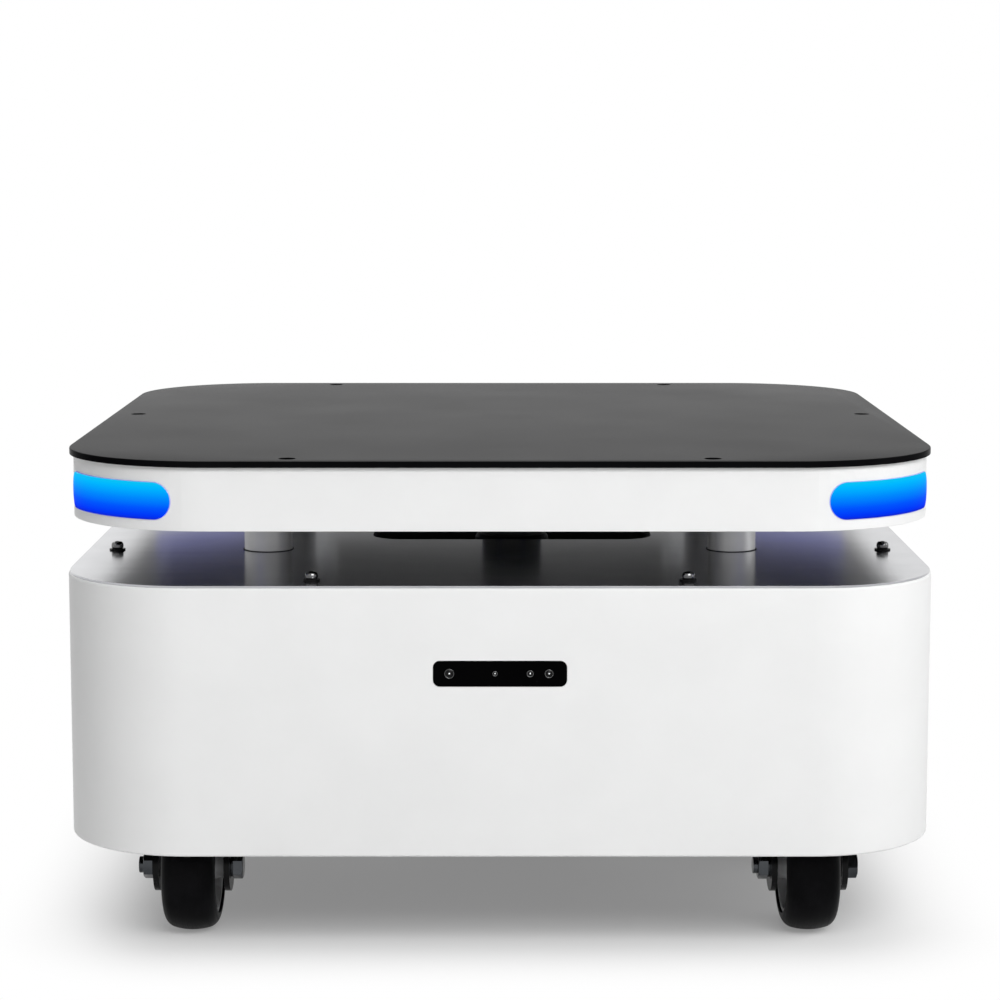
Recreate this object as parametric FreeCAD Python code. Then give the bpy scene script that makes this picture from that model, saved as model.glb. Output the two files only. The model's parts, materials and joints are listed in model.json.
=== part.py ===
import FreeCAD, Part
import math
import os
from FreeCAD import Vector

# Autonomous mobile robot: a sheet-cased base on four swivel casters and two sprung drive wheels,
# with a load deck carried above it on four posts. Millimetres, +Z up, front towards -Y.

os.makedirs("parts", exist_ok=True)

# Casing
casing_width = 830.0
casing_depth = 830.0
casing_corner_radius = 122.0
casing_sheet = 2.5
casing_bend_radius = 2.4
casing_bottom_z = 100.0
base_top_z = 356.0
top_flange_width = 45.0
bottom_hem_width = 9.0
top_plate_thickness = 2.0
top_plate_edge_inset = 1.5

# Chassis
chassis_edge_gap = 12.5
chassis_plate_bottom_z = 158.0
chassis_plate_thickness = 6.0
frame_upright_size = 40.0
frame_wall = 3.0
frame_rail_width = 60.0
frame_rail_height = 40.0
frame_rail_end_gap = 70.0
frame_upright_from_end = 115.0
bracket_width = 60.0
bracket_leg = 40.0
bracket_height = 46.0
bracket_thickness = 4.0
bracket_offset = 200.0
cable_slot_length = 60.0
cable_slot_width = 24.0
cable_slot_x = 180.0
cable_slot_y = 175.0

# Deck posts
post_diameter = 48.0
post_wall = 4.0
post_x = 233.0
post_y = 176.0
post_flange_thickness = 6.0
post_foot_depth = 80.0
post_head_width = 96.0
post_head_depth = 96.0
post_bolt_spacing = 70.0
grommet_wall = 1.5
grommet_proud = 0.6

# Deck
deck_gap = 50.5
skirt_height = 59.5
skirt_width = 823.0
skirt_corner_radius = 140.0
skirt_sheet = 2.0
skirt_hem_width = 12.0
deck_plate_size = 831.0
deck_plate_radius = 145.0
deck_plate_thickness = 6.0
deck_edge_round = 1.0
deck_ring_width = 30.0
deck_ring_chamfer = 142.0
deck_rail_height = 40.0
deck_cross_rail_width = 40.0
deck_hole_diameter = 16.0
deck_insert_diameter = 12.0
deck_side_hole_inset = 27.0
deck_side_hole_y = 30.0
deck_end_hole_x = 197.0
deck_end_hole_inset = 23.5

# Corner light strips
light_height = 35.0
light_start_angle = 13.3
light_end_angle = 76.7
light_centre_above_skirt_bottom = 27.4
light_proud = 1.2
light_flange_margin = 4.0
light_flange_thickness = 2.0

# Top plate screws
screw_side_inset = 31.0
screw_side_y = 184.0
screw_end_x = 176.0
screw_end_inset = 35.0
screw_diameter = 6.0
screw_hole_diameter = 6.6
screw_head_diameter = 12.0
screw_head_height = 5.5
screw_socket_across_flats = 4.0
screw_socket_depth = 2.8
screw_length = 20.0
screw_nut_across_flats = 10.0
screw_nut_height = 5.0
flat_washer_diameter = 16.0
flat_washer_thickness = 1.5
spring_washer_diameter = 11.0
spring_washer_thickness = 1.6

# Scanner and its well
scanner_x = 12.5
well_width = 289.0
well_depth = 220.0
well_corner_radius = 32.0
well_sheet = 1.5
well_floor_below_top = 34.5
well_flange_width = 16.0
scanner_body_diameter = 78.0
scanner_neck_diameter = 66.0
scanner_window_diameter = 63.0
scanner_window_wall = 2.2
scanner_window_height = 41.0
scanner_cap_height = 5.0
scanner_rotor_diameter = 48.0
scanner_rotor_height = 36.0
scanner_shaft_diameter = 8.0
scanner_shaft_length = 12.0

# Front depth camera
camera_z = 274.0
camera_width = 124.0
camera_height = 24.0
camera_corner_radius = 6.5
camera_glass_thickness = 2.5
camera_body_depth = 24.0
camera_flange_margin = 6.0
camera_flange_thickness = 3.0
camera_opening_clearance = 0.3
camera_lens_depth = 1.6
camera_lenses = ((-47.0, 4.5), (-4.6, 2.4), (28.0, 3.2), (45.5, 4.0))

# Rear service panel
panel_z = 262.0
panel_width = 300.0
panel_height = 100.0
panel_corner_radius = 14.0
panel_depth = 36.0
panel_sheet = 1.5
panel_flange_width = 14.0
stop_x = 96.0
stop_collar_diameter = 44.0
stop_collar_thickness = 4.0
stop_neck_diameter = 22.0
stop_neck_hole_clearance = 0.2
stop_head_diameter = 40.0
stop_head_height = 14.0
stop_stem_diameter = 12.0
stop_travel = 4.0
stop_body_width = 30.0
stop_body_depth = 44.0
power_x = 10.0
power_bezel_diameter = 24.0
power_bezel_thickness = 2.5
power_neck_diameter = 19.0
power_cap_diameter = 14.0
power_travel = 2.0
power_body_depth = 30.0
socket_x = -88.0
socket_width = 72.0
socket_height = 46.0
socket_corner_radius = 6.0
socket_face_thickness = 5.0
socket_contact_diameter = 12.0
socket_contact_spacing = 30.0

# Casters
caster_side_inset = 117.0
caster_end_inset = 155.0
caster_trail = 40.0
caster_wheel_diameter = 125.0
caster_tyre_width = 52.0
caster_tyre_thickness = 16.0
caster_tyre_crown_radius = 60.0
caster_tyre_shoulder = 13.0
caster_rim_width = 47.0
caster_web_thickness = 14.0
caster_hub_diameter = 34.0
caster_kingpin_diameter = 14.0
caster_axle_diameter = 16.0
caster_leg_inner_half = 31.5
caster_leg_thickness = 5.5
caster_leg_end_radius = 25.0
caster_crown_z = 131.0
caster_crown_thickness = 5.0
caster_race_diameter = 60.0
caster_race_gap = 0.3
caster_plate_width = 85.0
caster_plate_depth = 105.0
caster_plate_thickness = 5.0
caster_race_height = 8.0
caster_bolt_spacing_x = 60.0
caster_bolt_spacing_y = 80.0
caster_washer_diameter = 23.0
caster_washer_thickness = 2.0
caster_hex_across_flats = 24.0
caster_head_height = 9.5
caster_nut_height = 9.5
caster_thread_overhang = 4.5
front_left_swivel = -1.0
front_right_swivel = 2.0
front_right_head_turn = 30.0

# Frame bolts
bolt_diameter = 8.0
bolt_hole_diameter = 8.6
bolt_across_flats = 13.0
bolt_head_height = 5.5
bolt_nut_height = 6.5

# Drive units
drive_wheel_inset = 85.0
drive_wheel_diameter = 180.0
drive_tyre_width = 45.0
drive_tyre_thickness = 14.0
drive_tyre_shoulder = 6.0
drive_axle_z = 90.0
drive_shaft_diameter = 20.0
drive_hub_diameter = 56.0
drive_web_thickness = 12.0
drive_web_hole_diameter = 22.0
drive_web_hole_circle = 104.0
drive_web_holes = 6
drive_slot_width = 62.0
drive_slot_length = 200.0
arm_to_wheel = 39.0
arm_thickness = 12.0
arm_pivot_y = -115.0
arm_pivot_z = 128.0
arm_pivot_radius = 18.0
arm_axle_radius = 45.0
arm_spring_y = 135.0
arm_spring_z = 125.0
arm_spring_radius = 16.0
spring_seat_diameter = 40.0
spring_seat_top_z = 146.0
pivot_pin_diameter = 12.0
pivot_lug_thickness = 5.0
pivot_lug_gap = 0.5
pivot_head_diameter = 18.0
pivot_head_thickness = 3.0
tower_outer_diameter = 54.0
tower_bore_diameter = 44.0
tower_top_z = 242.0
tower_cap_thickness = 6.0
tower_flange_diameter = 82.0
tower_flange_thickness = 4.0
tower_plate_hole_diameter = 48.0
spring_outer_diameter = 36.0
spring_wire_diameter = 5.0
spring_pitch = 14.0
gearbox_flange_diameter = 90.0
gearbox_flange_length = 12.0
gearbox_diameter = 80.0
gearbox_length = 60.0
motor_diameter = 72.0
motor_length = 88.0
encoder_diameter = 58.0
encoder_length = 24.0

# Battery and electronics
battery_width = 340.0
battery_depth = 210.0
battery_height = 126.0
battery_y = 10.0
control_width = 210.0
control_depth = 130.0
control_height = 66.0
control_inset = 60.0
driver_width = 96.0
driver_depth = 120.0
driver_height = 56.0
driver_x = 90.0
driver_inset = 70.0
fin_height = 14.0
fin_thickness = 2.5

# Clearances
running_clearance = 0.05
end_gap = 0.3

# Levels that follow from the sizes above
casing_top_z = base_top_z - top_plate_thickness
chassis_plate_top_z = chassis_plate_bottom_z + chassis_plate_thickness
rail_top_z = casing_top_z - post_flange_thickness - 1.0
rail_bottom_z = rail_top_z - frame_rail_height
skirt_bottom_z = base_top_z + deck_gap
skirt_top_z = skirt_bottom_z + skirt_height
half_width = casing_width / 2.0
half_depth = casing_depth / 2.0
screw_side_x = half_width - screw_side_inset
screw_end_y = half_depth - screw_end_inset
caster_x = half_width - caster_side_inset
caster_y = half_depth - caster_end_inset
drive_wheel_x = half_width - drive_wheel_inset
arm_x = drive_wheel_x - arm_to_wheel
frame_rail_half_length = half_depth - frame_rail_end_gap
frame_upright_y = half_depth - frame_upright_from_end
control_y = control_inset + control_depth / 2.0 - half_depth
driver_y = half_depth - driver_inset - driver_depth / 2.0
deck_side_hole_x = deck_plate_size / 2.0 - deck_side_hole_inset
deck_end_hole_y = deck_plate_size / 2.0 - deck_end_hole_inset
grommet_diameter = post_diameter + 2.0 * grommet_wall
deck_rail_bottom_z = skirt_top_z - deck_rail_height
casing_front_y = -casing_depth / 2.0
casing_rear_y = casing_depth / 2.0
corners = ((-1, -1), (1, -1), (-1, 1), (1, 1))


def rounded_wire(width, depth, radius, z, cx, cy):
    half_x = width / 2.0 - radius
    half_y = depth / 2.0 - radius
    centres = ((half_x, half_y), (-half_x, half_y), (-half_x, -half_y), (half_x, -half_y))
    arcs = []
    for turn, centre in enumerate(centres):
        points = []
        for step in range(3):
            angle = math.radians(90.0 * turn + 45.0 * step)
            x = cx + centre[0] + radius * math.cos(angle)
            y = cy + centre[1] + radius * math.sin(angle)
            points.append(Vector(x, y, z))
        arcs.append(points)
    edges = []
    for turn in range(4):
        here = arcs[turn]
        after = arcs[(turn + 1) % 4]
        edges.append(Part.Arc(here[0], here[1], here[2]).toShape())
        if here[2].distanceToPoint(after[0]) > 1e-6:
            edges.append(Part.makeLine(here[2], after[0]))
    return Part.Wire(edges)


def rounded_block(width, depth, radius, z0, z1, cx=0.0, cy=0.0):
    face = Part.Face(rounded_wire(width, depth, radius, z0, cx, cy))
    return face.extrude(Vector(0, 0, z1 - z0))


def upright_block(width, height, radius, y0, y1, cx, cz):
    block = rounded_block(width, height, radius, 0.0, y1 - y0)
    block.rotate(Vector(0, 0, 0), Vector(1, 0, 0), 90.0)
    block.translate(Vector(cx, y1, cz))
    return block


def box(x0, x1, y0, y1, z0, z1):
    return Part.makeBox(x1 - x0, y1 - y0, z1 - z0, Vector(x0, y0, z0))


def rod(diameter, length, start, direction):
    return Part.makeCylinder(diameter / 2.0, length, start, direction)


def upright_rod(diameter, x, y, z0, z1):
    return rod(diameter, z1 - z0, Vector(x, y, z0), Vector(0, 0, 1))


def across_rod(diameter, x0, x1, y, z):
    return rod(diameter, x1 - x0, Vector(x0, y, z), Vector(1, 0, 0))


def depth_rod(diameter, y0, y1, x, z):
    return rod(diameter, y1 - y0, Vector(x, y0, z), Vector(0, 1, 0))


def turned(points):
    vectors = [Vector(radius, 0, height) for radius, height in points]
    vectors.append(vectors[0])
    face = Part.Face(Part.makePolygon(vectors))
    return face.revolve(Vector(0, 0, 0), Vector(0, 0, 1), 360.0)


def turned_across(points):
    solid = turned(points)
    solid.rotate(Vector(0, 0, 0), Vector(0, 1, 0), 90.0)
    return solid


def hexagon(across_flats, z0, z1, x, y):
    radius = across_flats / math.sqrt(3.0)
    points = []
    for step in range(7):
        angle = math.radians(60.0 * step)
        points.append(Vector(x + radius * math.cos(angle), y + radius * math.sin(angle), z0))
    prism = Part.Face(Part.makePolygon(points)).extrude(Vector(0, 0, z1 - z0))
    return prism


def chamfered_hexagon(across_flats, z0, z1):
    prism = hexagon(across_flats, z0, z1, 0.0, 0.0)
    rim = across_flats / 2.0
    corner = across_flats / math.sqrt(3.0)
    drop = (corner - rim) * 0.6
    dome = turned(((0, z0), (corner, z0), (corner, z1 - drop), (rim * 0.98, z1), (0, z1)))
    return prism.common(dome)


def link(y1, z1, r1, y2, z2, r2, x0, x1):
    span = math.hypot(y2 - y1, z2 - z1)
    heading = math.atan2(z2 - z1, y2 - y1)
    lean = math.acos((r1 - r2) / span)
    p = []
    for side in (1, -1):
        angle = heading + side * lean
        p.append(Vector(x0, y1 + r1 * math.cos(angle), z1 + r1 * math.sin(angle)))
        p.append(Vector(x0, y2 + r2 * math.cos(angle), z2 + r2 * math.sin(angle)))
    back = Vector(x0, y1 - r1 * math.cos(heading), z1 - r1 * math.sin(heading))
    tip = Vector(x0, y2 + r2 * math.cos(heading), z2 + r2 * math.sin(heading))
    upper = Part.makeLine(p[0], p[1])
    nose = Part.Arc(p[1], tip, p[3]).toShape()
    lower = Part.makeLine(p[3], p[2])
    tail = Part.Arc(p[2], back, p[0]).toShape()
    return Part.Face(Part.Wire([upper, nose, lower, tail])).extrude(Vector(x1 - x0, 0, 0))


def mirrored(shape):
    return shape.mirror(Vector(0, 0, 0), Vector(1, 0, 0))


def save(name, solids):
    shape = solids[0] if len(solids) == 1 else Part.makeCompound(solids)
    shape.exportStep("parts/" + name + ".step")


def four_places(x, y):
    return [(sx * x, sy * y) for sx, sy in corners]


screw_places = four_places(screw_side_x, screw_side_y) + four_places(screw_end_x, screw_end_y)
deck_holes = [(sx * deck_side_hole_x, deck_side_hole_y) for sx in (-1, 1)]
deck_holes += four_places(deck_end_hole_x, deck_end_hole_y)


def caster_bolt_places():
    places = []
    for cx, cy in four_places(caster_x, caster_y):
        for bx, by in four_places(caster_bolt_spacing_x / 2.0, caster_bolt_spacing_y / 2.0):
            places.append((cx + bx, cy + by))
    return places


def post_bolt_places():
    places = []
    for cx, cy in four_places(post_x, post_y):
        for bx, by in four_places(post_bolt_spacing / 2.0, post_bolt_spacing / 2.0):
            places.append((cx + bx, cy + by))
    return places


# ---------------------------------------------------------------- chassis


def make_chassis_plate():
    z0 = chassis_plate_bottom_z
    z1 = chassis_plate_top_z
    edge = casing_sheet + chassis_edge_gap
    plate = rounded_block(casing_width - 2.0 * edge, casing_depth - 2.0 * edge,
                          casing_corner_radius - edge, z0, z1)
    cuts = []
    for side in (-1, 1):
        cuts.append(rounded_block(drive_slot_width, drive_slot_length, 12.0, z0, z1,
                                  side * drive_wheel_x, 0.0))
        cuts.append(upright_rod(tower_plate_hole_diameter, side * arm_x, arm_spring_y, z0, z1))
        cuts.append(rounded_block(cable_slot_length, cable_slot_width, 11.0, z0, z1,
                                  side * cable_slot_x, -cable_slot_y))
    for x, y in caster_bolt_places():
        cuts.append(upright_rod(bolt_hole_diameter, x, y, z0, z1))
    return plate.cut(Part.makeCompound(cuts))


def tube_along_y(x, width, z0, z1, y0, y1, wall):
    outer = box(x - width / 2.0, x + width / 2.0, y0, y1, z0, z1)
    inner = box(x - width / 2.0 + wall, x + width / 2.0 - wall, y0, y1, z0 + wall, z1 - wall)
    return outer.cut(inner)


def make_chassis_frame():
    pieces = []
    half = frame_upright_size / 2.0
    reach = frame_rail_half_length
    for sx in (-1, 1):
        pieces.append(tube_along_y(sx * post_x, frame_rail_width, rail_bottom_z, rail_top_z,
                                   -reach, reach, frame_wall))
    for sx, sy in corners:
        x = sx * post_x
        y = sy * frame_upright_y
        z0 = chassis_plate_top_z
        outer = box(x - half, x + half, y - half, y + half, z0, rail_bottom_z)
        inner = box(x - half + frame_wall, x + half - frame_wall,
                    y - half + frame_wall, y + half - frame_wall, z0, rail_bottom_z)
        foot = box(x - half, x + half, y - half - 16.0, y + half + 16.0, z0, z0 + 5.0)
        pieces.append(outer.fuse(foot).cut(inner))
    rail_edge = post_x - frame_rail_width / 2.0
    for sy in (-1, 1):
        y = sy * (reach - half)
        outer = box(-rail_edge, rail_edge, y - half, y + half, rail_bottom_z, rail_top_z)
        inner = box(-rail_edge, rail_edge, y - half + frame_wall, y + half - frame_wall,
                    rail_bottom_z, rail_top_z - frame_wall)
        pieces.append(outer.cut(inner))
    return pieces[0].multiFuse(pieces[1:]).removeSplitter()


def make_casing_shell():
    inside = casing_width - 2.0 * casing_sheet
    inside_depth = casing_depth - 2.0 * casing_sheet
    inside_radius = casing_corner_radius - casing_sheet
    outer = rounded_block(casing_width, casing_depth, casing_corner_radius,
                          casing_bottom_z, casing_top_z)
    bends = [edge for edge in outer.Edges if edge.BoundBox.ZLength < 1e-6]
    outer = outer.makeFillet(casing_bend_radius, bends)
    inner = rounded_block(inside, inside_depth, inside_radius,
                          casing_bottom_z + casing_sheet, casing_top_z - casing_sheet)
    top_opening = rounded_block(casing_width - 2.0 * top_flange_width,
                                casing_depth - 2.0 * top_flange_width,
                                casing_corner_radius - top_flange_width,
                                casing_top_z - casing_sheet, casing_top_z)
    hem = casing_sheet + bottom_hem_width
    bottom_opening = rounded_block(casing_width - 2.0 * hem, casing_depth - 2.0 * hem,
                                   casing_corner_radius - hem,
                                   casing_bottom_z, casing_bottom_z + casing_sheet)
    gap = 2.0 * camera_opening_clearance
    camera_opening = upright_block(camera_width + gap, camera_height + gap, camera_corner_radius,
                                   casing_front_y, casing_front_y + casing_sheet, 0.0, camera_z)
    panel_opening = upright_block(panel_width, panel_height, panel_corner_radius,
                                  casing_rear_y - casing_sheet, casing_rear_y, 0.0, panel_z)
    cuts = [inner, top_opening, bottom_opening, camera_opening, panel_opening]
    for x, y in screw_places:
        cuts.append(upright_rod(screw_hole_diameter, x, y, casing_top_z - casing_sheet, casing_top_z))
    return outer.cut(Part.makeCompound(cuts))


def make_shell_bracket(wall):
    half = bracket_width / 2.0
    z0 = chassis_plate_top_z
    foot = box(-half, half, -wall, -wall + bracket_leg, z0, z0 + bracket_thickness)
    leg = box(-half, half, -wall, -wall + bracket_thickness, z0, z0 + bracket_height)
    profile = [Vector(0, -wall + bracket_thickness, z0 + bracket_thickness),
               Vector(0, -wall + bracket_leg - 6.0, z0 + bracket_thickness),
               Vector(0, -wall + bracket_thickness, z0 + bracket_height - 6.0)]
    profile.append(profile[0])
    rib = Part.Face(Part.makePolygon(profile)).extrude(Vector(bracket_thickness, 0, 0))
    rib.translate(Vector(-bracket_thickness / 2.0, 0, 0))
    return foot.multiFuse([leg, rib]).removeSplitter()


def make_shell_brackets():
    brackets = []
    walls = (half_depth - casing_sheet, half_width - casing_sheet)
    for turn in range(4):
        for offset in (-bracket_offset, bracket_offset):
            bracket = make_shell_bracket(walls[turn % 2])
            bracket.translate(Vector(offset, 0, 0))
            bracket.rotate(Vector(0, 0, 0), Vector(0, 0, 1), 90.0 * turn)
            brackets.append(bracket)
    return brackets


def make_base_top_plate():
    plate = rounded_block(casing_width - 2.0 * top_plate_edge_inset,
                          casing_depth - 2.0 * top_plate_edge_inset,
                          casing_corner_radius - top_plate_edge_inset, casing_top_z, base_top_z)
    cuts = [rounded_block(well_width, well_depth, well_corner_radius, casing_top_z, base_top_z,
                          scanner_x, 0.0)]
    for x, y in four_places(post_x, post_y):
        cuts.append(upright_rod(grommet_diameter, x, y, casing_top_z, base_top_z))
    for x, y in screw_places:
        cuts.append(upright_rod(screw_hole_diameter, x, y, casing_top_z, base_top_z))
    return plate.cut(Part.makeCompound(cuts))


def make_top_plate_screw():
    seat = base_top_z + flat_washer_thickness + spring_washer_thickness
    crown = seat + screw_head_height
    head_radius = screw_head_diameter / 2.0
    shank_radius = screw_diameter / 2.0
    screw = turned(((0, seat - screw_length), (shank_radius, seat - screw_length),
                    (shank_radius, seat), (head_radius, seat),
                    (head_radius, seat + screw_head_height * 0.45),
                    (head_radius * 0.93, seat + screw_head_height * 0.72),
                    (head_radius * 0.72, crown - 0.35), (head_radius * 0.5, crown), (0, crown)))
    return screw.cut(hexagon(screw_socket_across_flats, crown - screw_socket_depth, crown, 0, 0))


def make_top_plate_screws():
    screw = make_top_plate_screw()
    nut_top = casing_top_z - casing_sheet
    nut = hexagon(screw_nut_across_flats, nut_top - screw_nut_height, nut_top, 0, 0)
    nut = nut.cut(upright_rod(screw_diameter, 0, 0, nut_top - screw_nut_height, nut_top))
    solids = []
    for x, y in screw_places:
        solids.append(screw.translated(Vector(x, y, 0)))
        solids.append(nut.translated(Vector(x, y, 0)))
    return solids


def make_top_plate_washers():
    z0 = base_top_z
    z1 = z0 + flat_washer_thickness
    z2 = z1 + spring_washer_thickness
    flat = upright_rod(flat_washer_diameter, 0, 0, z0, z1).cut(
        upright_rod(screw_diameter, 0, 0, z0, z1))
    spring = upright_rod(spring_washer_diameter, 0, 0, z1, z2).cut(
        upright_rod(screw_diameter, 0, 0, z1, z2))
    spring = spring.cut(box(0, spring_washer_diameter, -0.4, 0.4, z1, z2))
    solids = []
    for x, y in screw_places:
        solids.append(flat.translated(Vector(x, y, 0)))
        solids.append(spring.translated(Vector(x, y, 0)))
    return solids


# ---------------------------------------------------------------- scanner


def make_scanner_well():
    rim_z = casing_top_z
    floor_z = base_top_z - well_floor_below_top
    grow = 2.0 * well_sheet
    flange = rounded_block(well_width + 2.0 * well_flange_width, well_depth + 2.0 * well_flange_width,
                           well_corner_radius + well_flange_width, rim_z - well_sheet, rim_z,
                           scanner_x, 0.0)
    tub = rounded_block(well_width + grow, well_depth + grow, well_corner_radius + well_sheet,
                        floor_z - well_sheet, rim_z, scanner_x, 0.0)
    hollow = rounded_block(well_width, well_depth, well_corner_radius, floor_z, rim_z, scanner_x, 0.0)
    return flange.fuse(tub).cut(hollow).removeSplitter()


def make_scanner_body():
    z0 = base_top_z - well_floor_below_top
    radius = scanner_body_diameter / 2.0
    neck = scanner_neck_diameter / 2.0
    shoulder = base_top_z - 8.0
    body = turned(((0, z0), (radius, z0), (radius, shoulder - 4.0), (radius - 3.0, shoulder),
                   (neck, shoulder), (neck, base_top_z), (0, base_top_z)))
    bore = upright_rod(scanner_shaft_diameter + 2.0 * running_clearance, 0, 0,
                       base_top_z - scanner_shaft_length - end_gap, base_top_z)
    plug = rod(16.0, 14.0, Vector(0, radius - 2.0, z0 + 13.0), Vector(0, 1, 0))
    body = body.fuse(plug).cut(bore)
    body.translate(Vector(scanner_x, 0, 0))
    return body


def make_scanner_window():
    z1 = base_top_z + scanner_window_height
    window = upright_rod(scanner_window_diameter, scanner_x, 0, base_top_z, z1)
    return window.cut(upright_rod(scanner_window_diameter - 2.0 * scanner_window_wall,
                                  scanner_x, 0, base_top_z, z1))


def make_scanner_cap():
    z0 = base_top_z + scanner_window_height
    z1 = z0 + scanner_cap_height
    radius = scanner_window_diameter / 2.0 + 0.6
    cap = turned(((0, z0), (radius, z0), (radius, z1 - 2.0), (radius - 2.0, z1), (0, z1)))
    cap.translate(Vector(scanner_x, 0, 0))
    return cap


def make_scanner_rotor():
    z0 = base_top_z + end_gap
    z1 = z0 + scanner_rotor_height
    radius = scanner_rotor_diameter / 2.0
    shaft = scanner_shaft_diameter / 2.0
    rotor = turned(((0, base_top_z - scanner_shaft_length), (shaft, base_top_z - scanner_shaft_length),
                    (shaft, z0), (radius, z0), (radius, z0 + 6.0), (radius - 3.0, z0 + 9.0),
                    (radius - 3.0, z1 - 4.0), (radius - 6.0, z1), (0, z1)))
    aperture = box(-15.0, 15.0, -radius, -radius + 14.0, z0 + 12.0, z1 - 7.0)
    lens = rod(14.0, 8.0, Vector(-7.0, -radius + 14.0, z0 + 19.0), Vector(0, -1, 0))
    emitter = rod(8.0, 8.0, Vector(8.5, -radius + 14.0, z0 + 19.0), Vector(0, -1, 0))
    rotor = rotor.cut(aperture).fuse(lens).fuse(emitter)
    rotor.translate(Vector(scanner_x, 0, 0))
    return rotor


# ---------------------------------------------------------------- deck


def make_deck_posts():
    z0 = rail_top_z
    z1 = deck_rail_bottom_z
    solids = []
    for x, y in four_places(post_x, post_y):
        tube = upright_rod(post_diameter, x, y, z0, z1)
        foot = box(x - frame_rail_width / 2.0, x + frame_rail_width / 2.0,
                   y - post_foot_depth / 2.0, y + post_foot_depth / 2.0, z0, z0 + post_flange_thickness)
        head = rounded_block(post_head_width, post_head_depth, 10.0,
                             z1 - post_flange_thickness, z1, x, y)
        post = tube.multiFuse([foot, head])
        cuts = [upright_rod(post_diameter - 2.0 * post_wall, x, y, z0, z1)]
        for bx, by in four_places(post_bolt_spacing / 2.0, post_bolt_spacing / 2.0):
            cuts.append(upright_rod(bolt_hole_diameter, x + bx, y + by,
                                    z1 - post_flange_thickness, z1))
        solids.append(post.cut(Part.makeCompound(cuts)))
    return solids


def make_post_grommets():
    solids = []
    lip_z = base_top_z + grommet_proud
    for x, y in four_places(post_x, post_y):
        ring = upright_rod(grommet_diameter, x, y, casing_top_z, lip_z)
        solids.append(ring.cut(upright_rod(post_diameter, x, y, casing_top_z, lip_z)))
    return solids


def octagon(half, chamfer, z0, z1):
    near = half - chamfer
    points = [Vector(half, -near, z0), Vector(half, near, z0), Vector(near, half, z0),
              Vector(-near, half, z0), Vector(-half, near, z0), Vector(-half, -near, z0),
              Vector(-near, -half, z0), Vector(near, -half, z0)]
    points.append(points[0])
    return Part.Face(Part.makePolygon(points)).extrude(Vector(0, 0, z1 - z0))


def make_deck_frame():
    z0 = deck_rail_bottom_z
    z1 = skirt_top_z
    half = skirt_width / 2.0 - skirt_sheet
    inner_half = half - deck_ring_width
    lean = deck_ring_chamfer - deck_ring_width * (2.0 - math.sqrt(2.0))
    channel_half = half - frame_wall
    channel_lean = deck_ring_chamfer - frame_wall * (2.0 - math.sqrt(2.0))
    ring = octagon(half, deck_ring_chamfer, z0, z1).cut(octagon(inner_half, lean, z0, z1))
    ring = ring.cut(octagon(channel_half, channel_lean, z0 + frame_wall, z1 - frame_wall))
    pieces = []
    rail_half = frame_rail_width / 2.0
    for sx in (-1, 1):
        pieces.append(tube_along_y(sx * post_x, frame_rail_width, z0, z1,
                                   -inner_half, inner_half, frame_wall))
    side = deck_cross_rail_width / 2.0
    for sy in (-1, 1):
        y = sy * post_y
        outer = box(-post_x + rail_half, post_x - rail_half, y - side, y + side, z0, z1)
        inner = box(-post_x + rail_half, post_x - rail_half, y - side + frame_wall,
                    y + side - frame_wall, z0, z1 - frame_wall)
        pieces.append(outer.cut(inner))
    cuts = []
    for x, y in deck_holes:
        cuts.append(upright_rod(deck_insert_diameter, x, y, z1 - frame_wall, z1))
    for x, y in post_bolt_places():
        if abs(abs(x) - post_x) < rail_half:
            cuts.append(upright_rod(bolt_diameter, x, y, z0, z0 + frame_wall))
    frame = ring.multiFuse(pieces).removeSplitter()
    pads = []
    for x, y in four_places(post_x, post_y):
        pads.append(box(x - post_head_width / 2.0, x + post_head_width / 2.0,
                        y - post_head_depth / 2.0, y + post_head_depth / 2.0, z0, z0 + frame_wall * 2.0))
    frame = frame.multiFuse(pads)
    holes = []
    for x, y in deck_holes:
        holes.append(upright_rod(deck_insert_diameter, x, y, z1 - frame_wall, z1))
    for x, y in post_bolt_places():
        holes.append(upright_rod(bolt_diameter, x, y, z0, z0 + frame_wall * 2.0))
    return frame.cut(Part.makeCompound(holes))


def light_solid(height, inner_radius, outer_radius):
    tilt = math.degrees((light_height / 2.0) / skirt_corner_radius)
    start = light_start_angle + tilt
    end = light_end_angle - tilt
    mid = skirt_bottom_z + light_centre_above_skirt_bottom
    reach = outer_radius - inner_radius
    block = turned_sector(inner_radius, outer_radius, mid - height / 2.0, mid + height / 2.0,
                          start, end)
    ring = upright_rod(outer_radius * 2.0, 0, 0, mid - height, mid + height).cut(
        upright_rod(inner_radius * 2.0, 0, 0, mid - height, mid + height))
    ends = []
    for angle in (start, end):
        heading = Vector(math.cos(math.radians(angle)), math.sin(math.radians(angle)), 0)
        foot = heading * (inner_radius - 15.0)
        foot.z = mid
        ends.append(rod(height, reach + 30.0, foot, heading).common(ring))
    return block.multiFuse(ends).removeSplitter()


def turned_sector(inner_radius, outer_radius, z0, z1, start, end):
    points = [Vector(inner_radius, 0, z0), Vector(outer_radius, 0, z0),
              Vector(outer_radius, 0, z1), Vector(inner_radius, 0, z1), Vector(inner_radius, 0, z0)]
    solid = Part.Face(Part.makePolygon(points)).revolve(Vector(0, 0, 0), Vector(0, 0, 1), end - start)
    solid.rotate(Vector(0, 0, 0), Vector(0, 0, 1), start)
    return solid


def at_corners(shape):
    centre = skirt_width / 2.0 - skirt_corner_radius
    copies = []
    for turn in range(4):
        copy = shape.copy()
        copy.translate(Vector(centre, centre, 0))
        copy.rotate(Vector(0, 0, 0), Vector(0, 0, 1), 90.0 * turn)
        copies.append(copy)
    return copies


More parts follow.
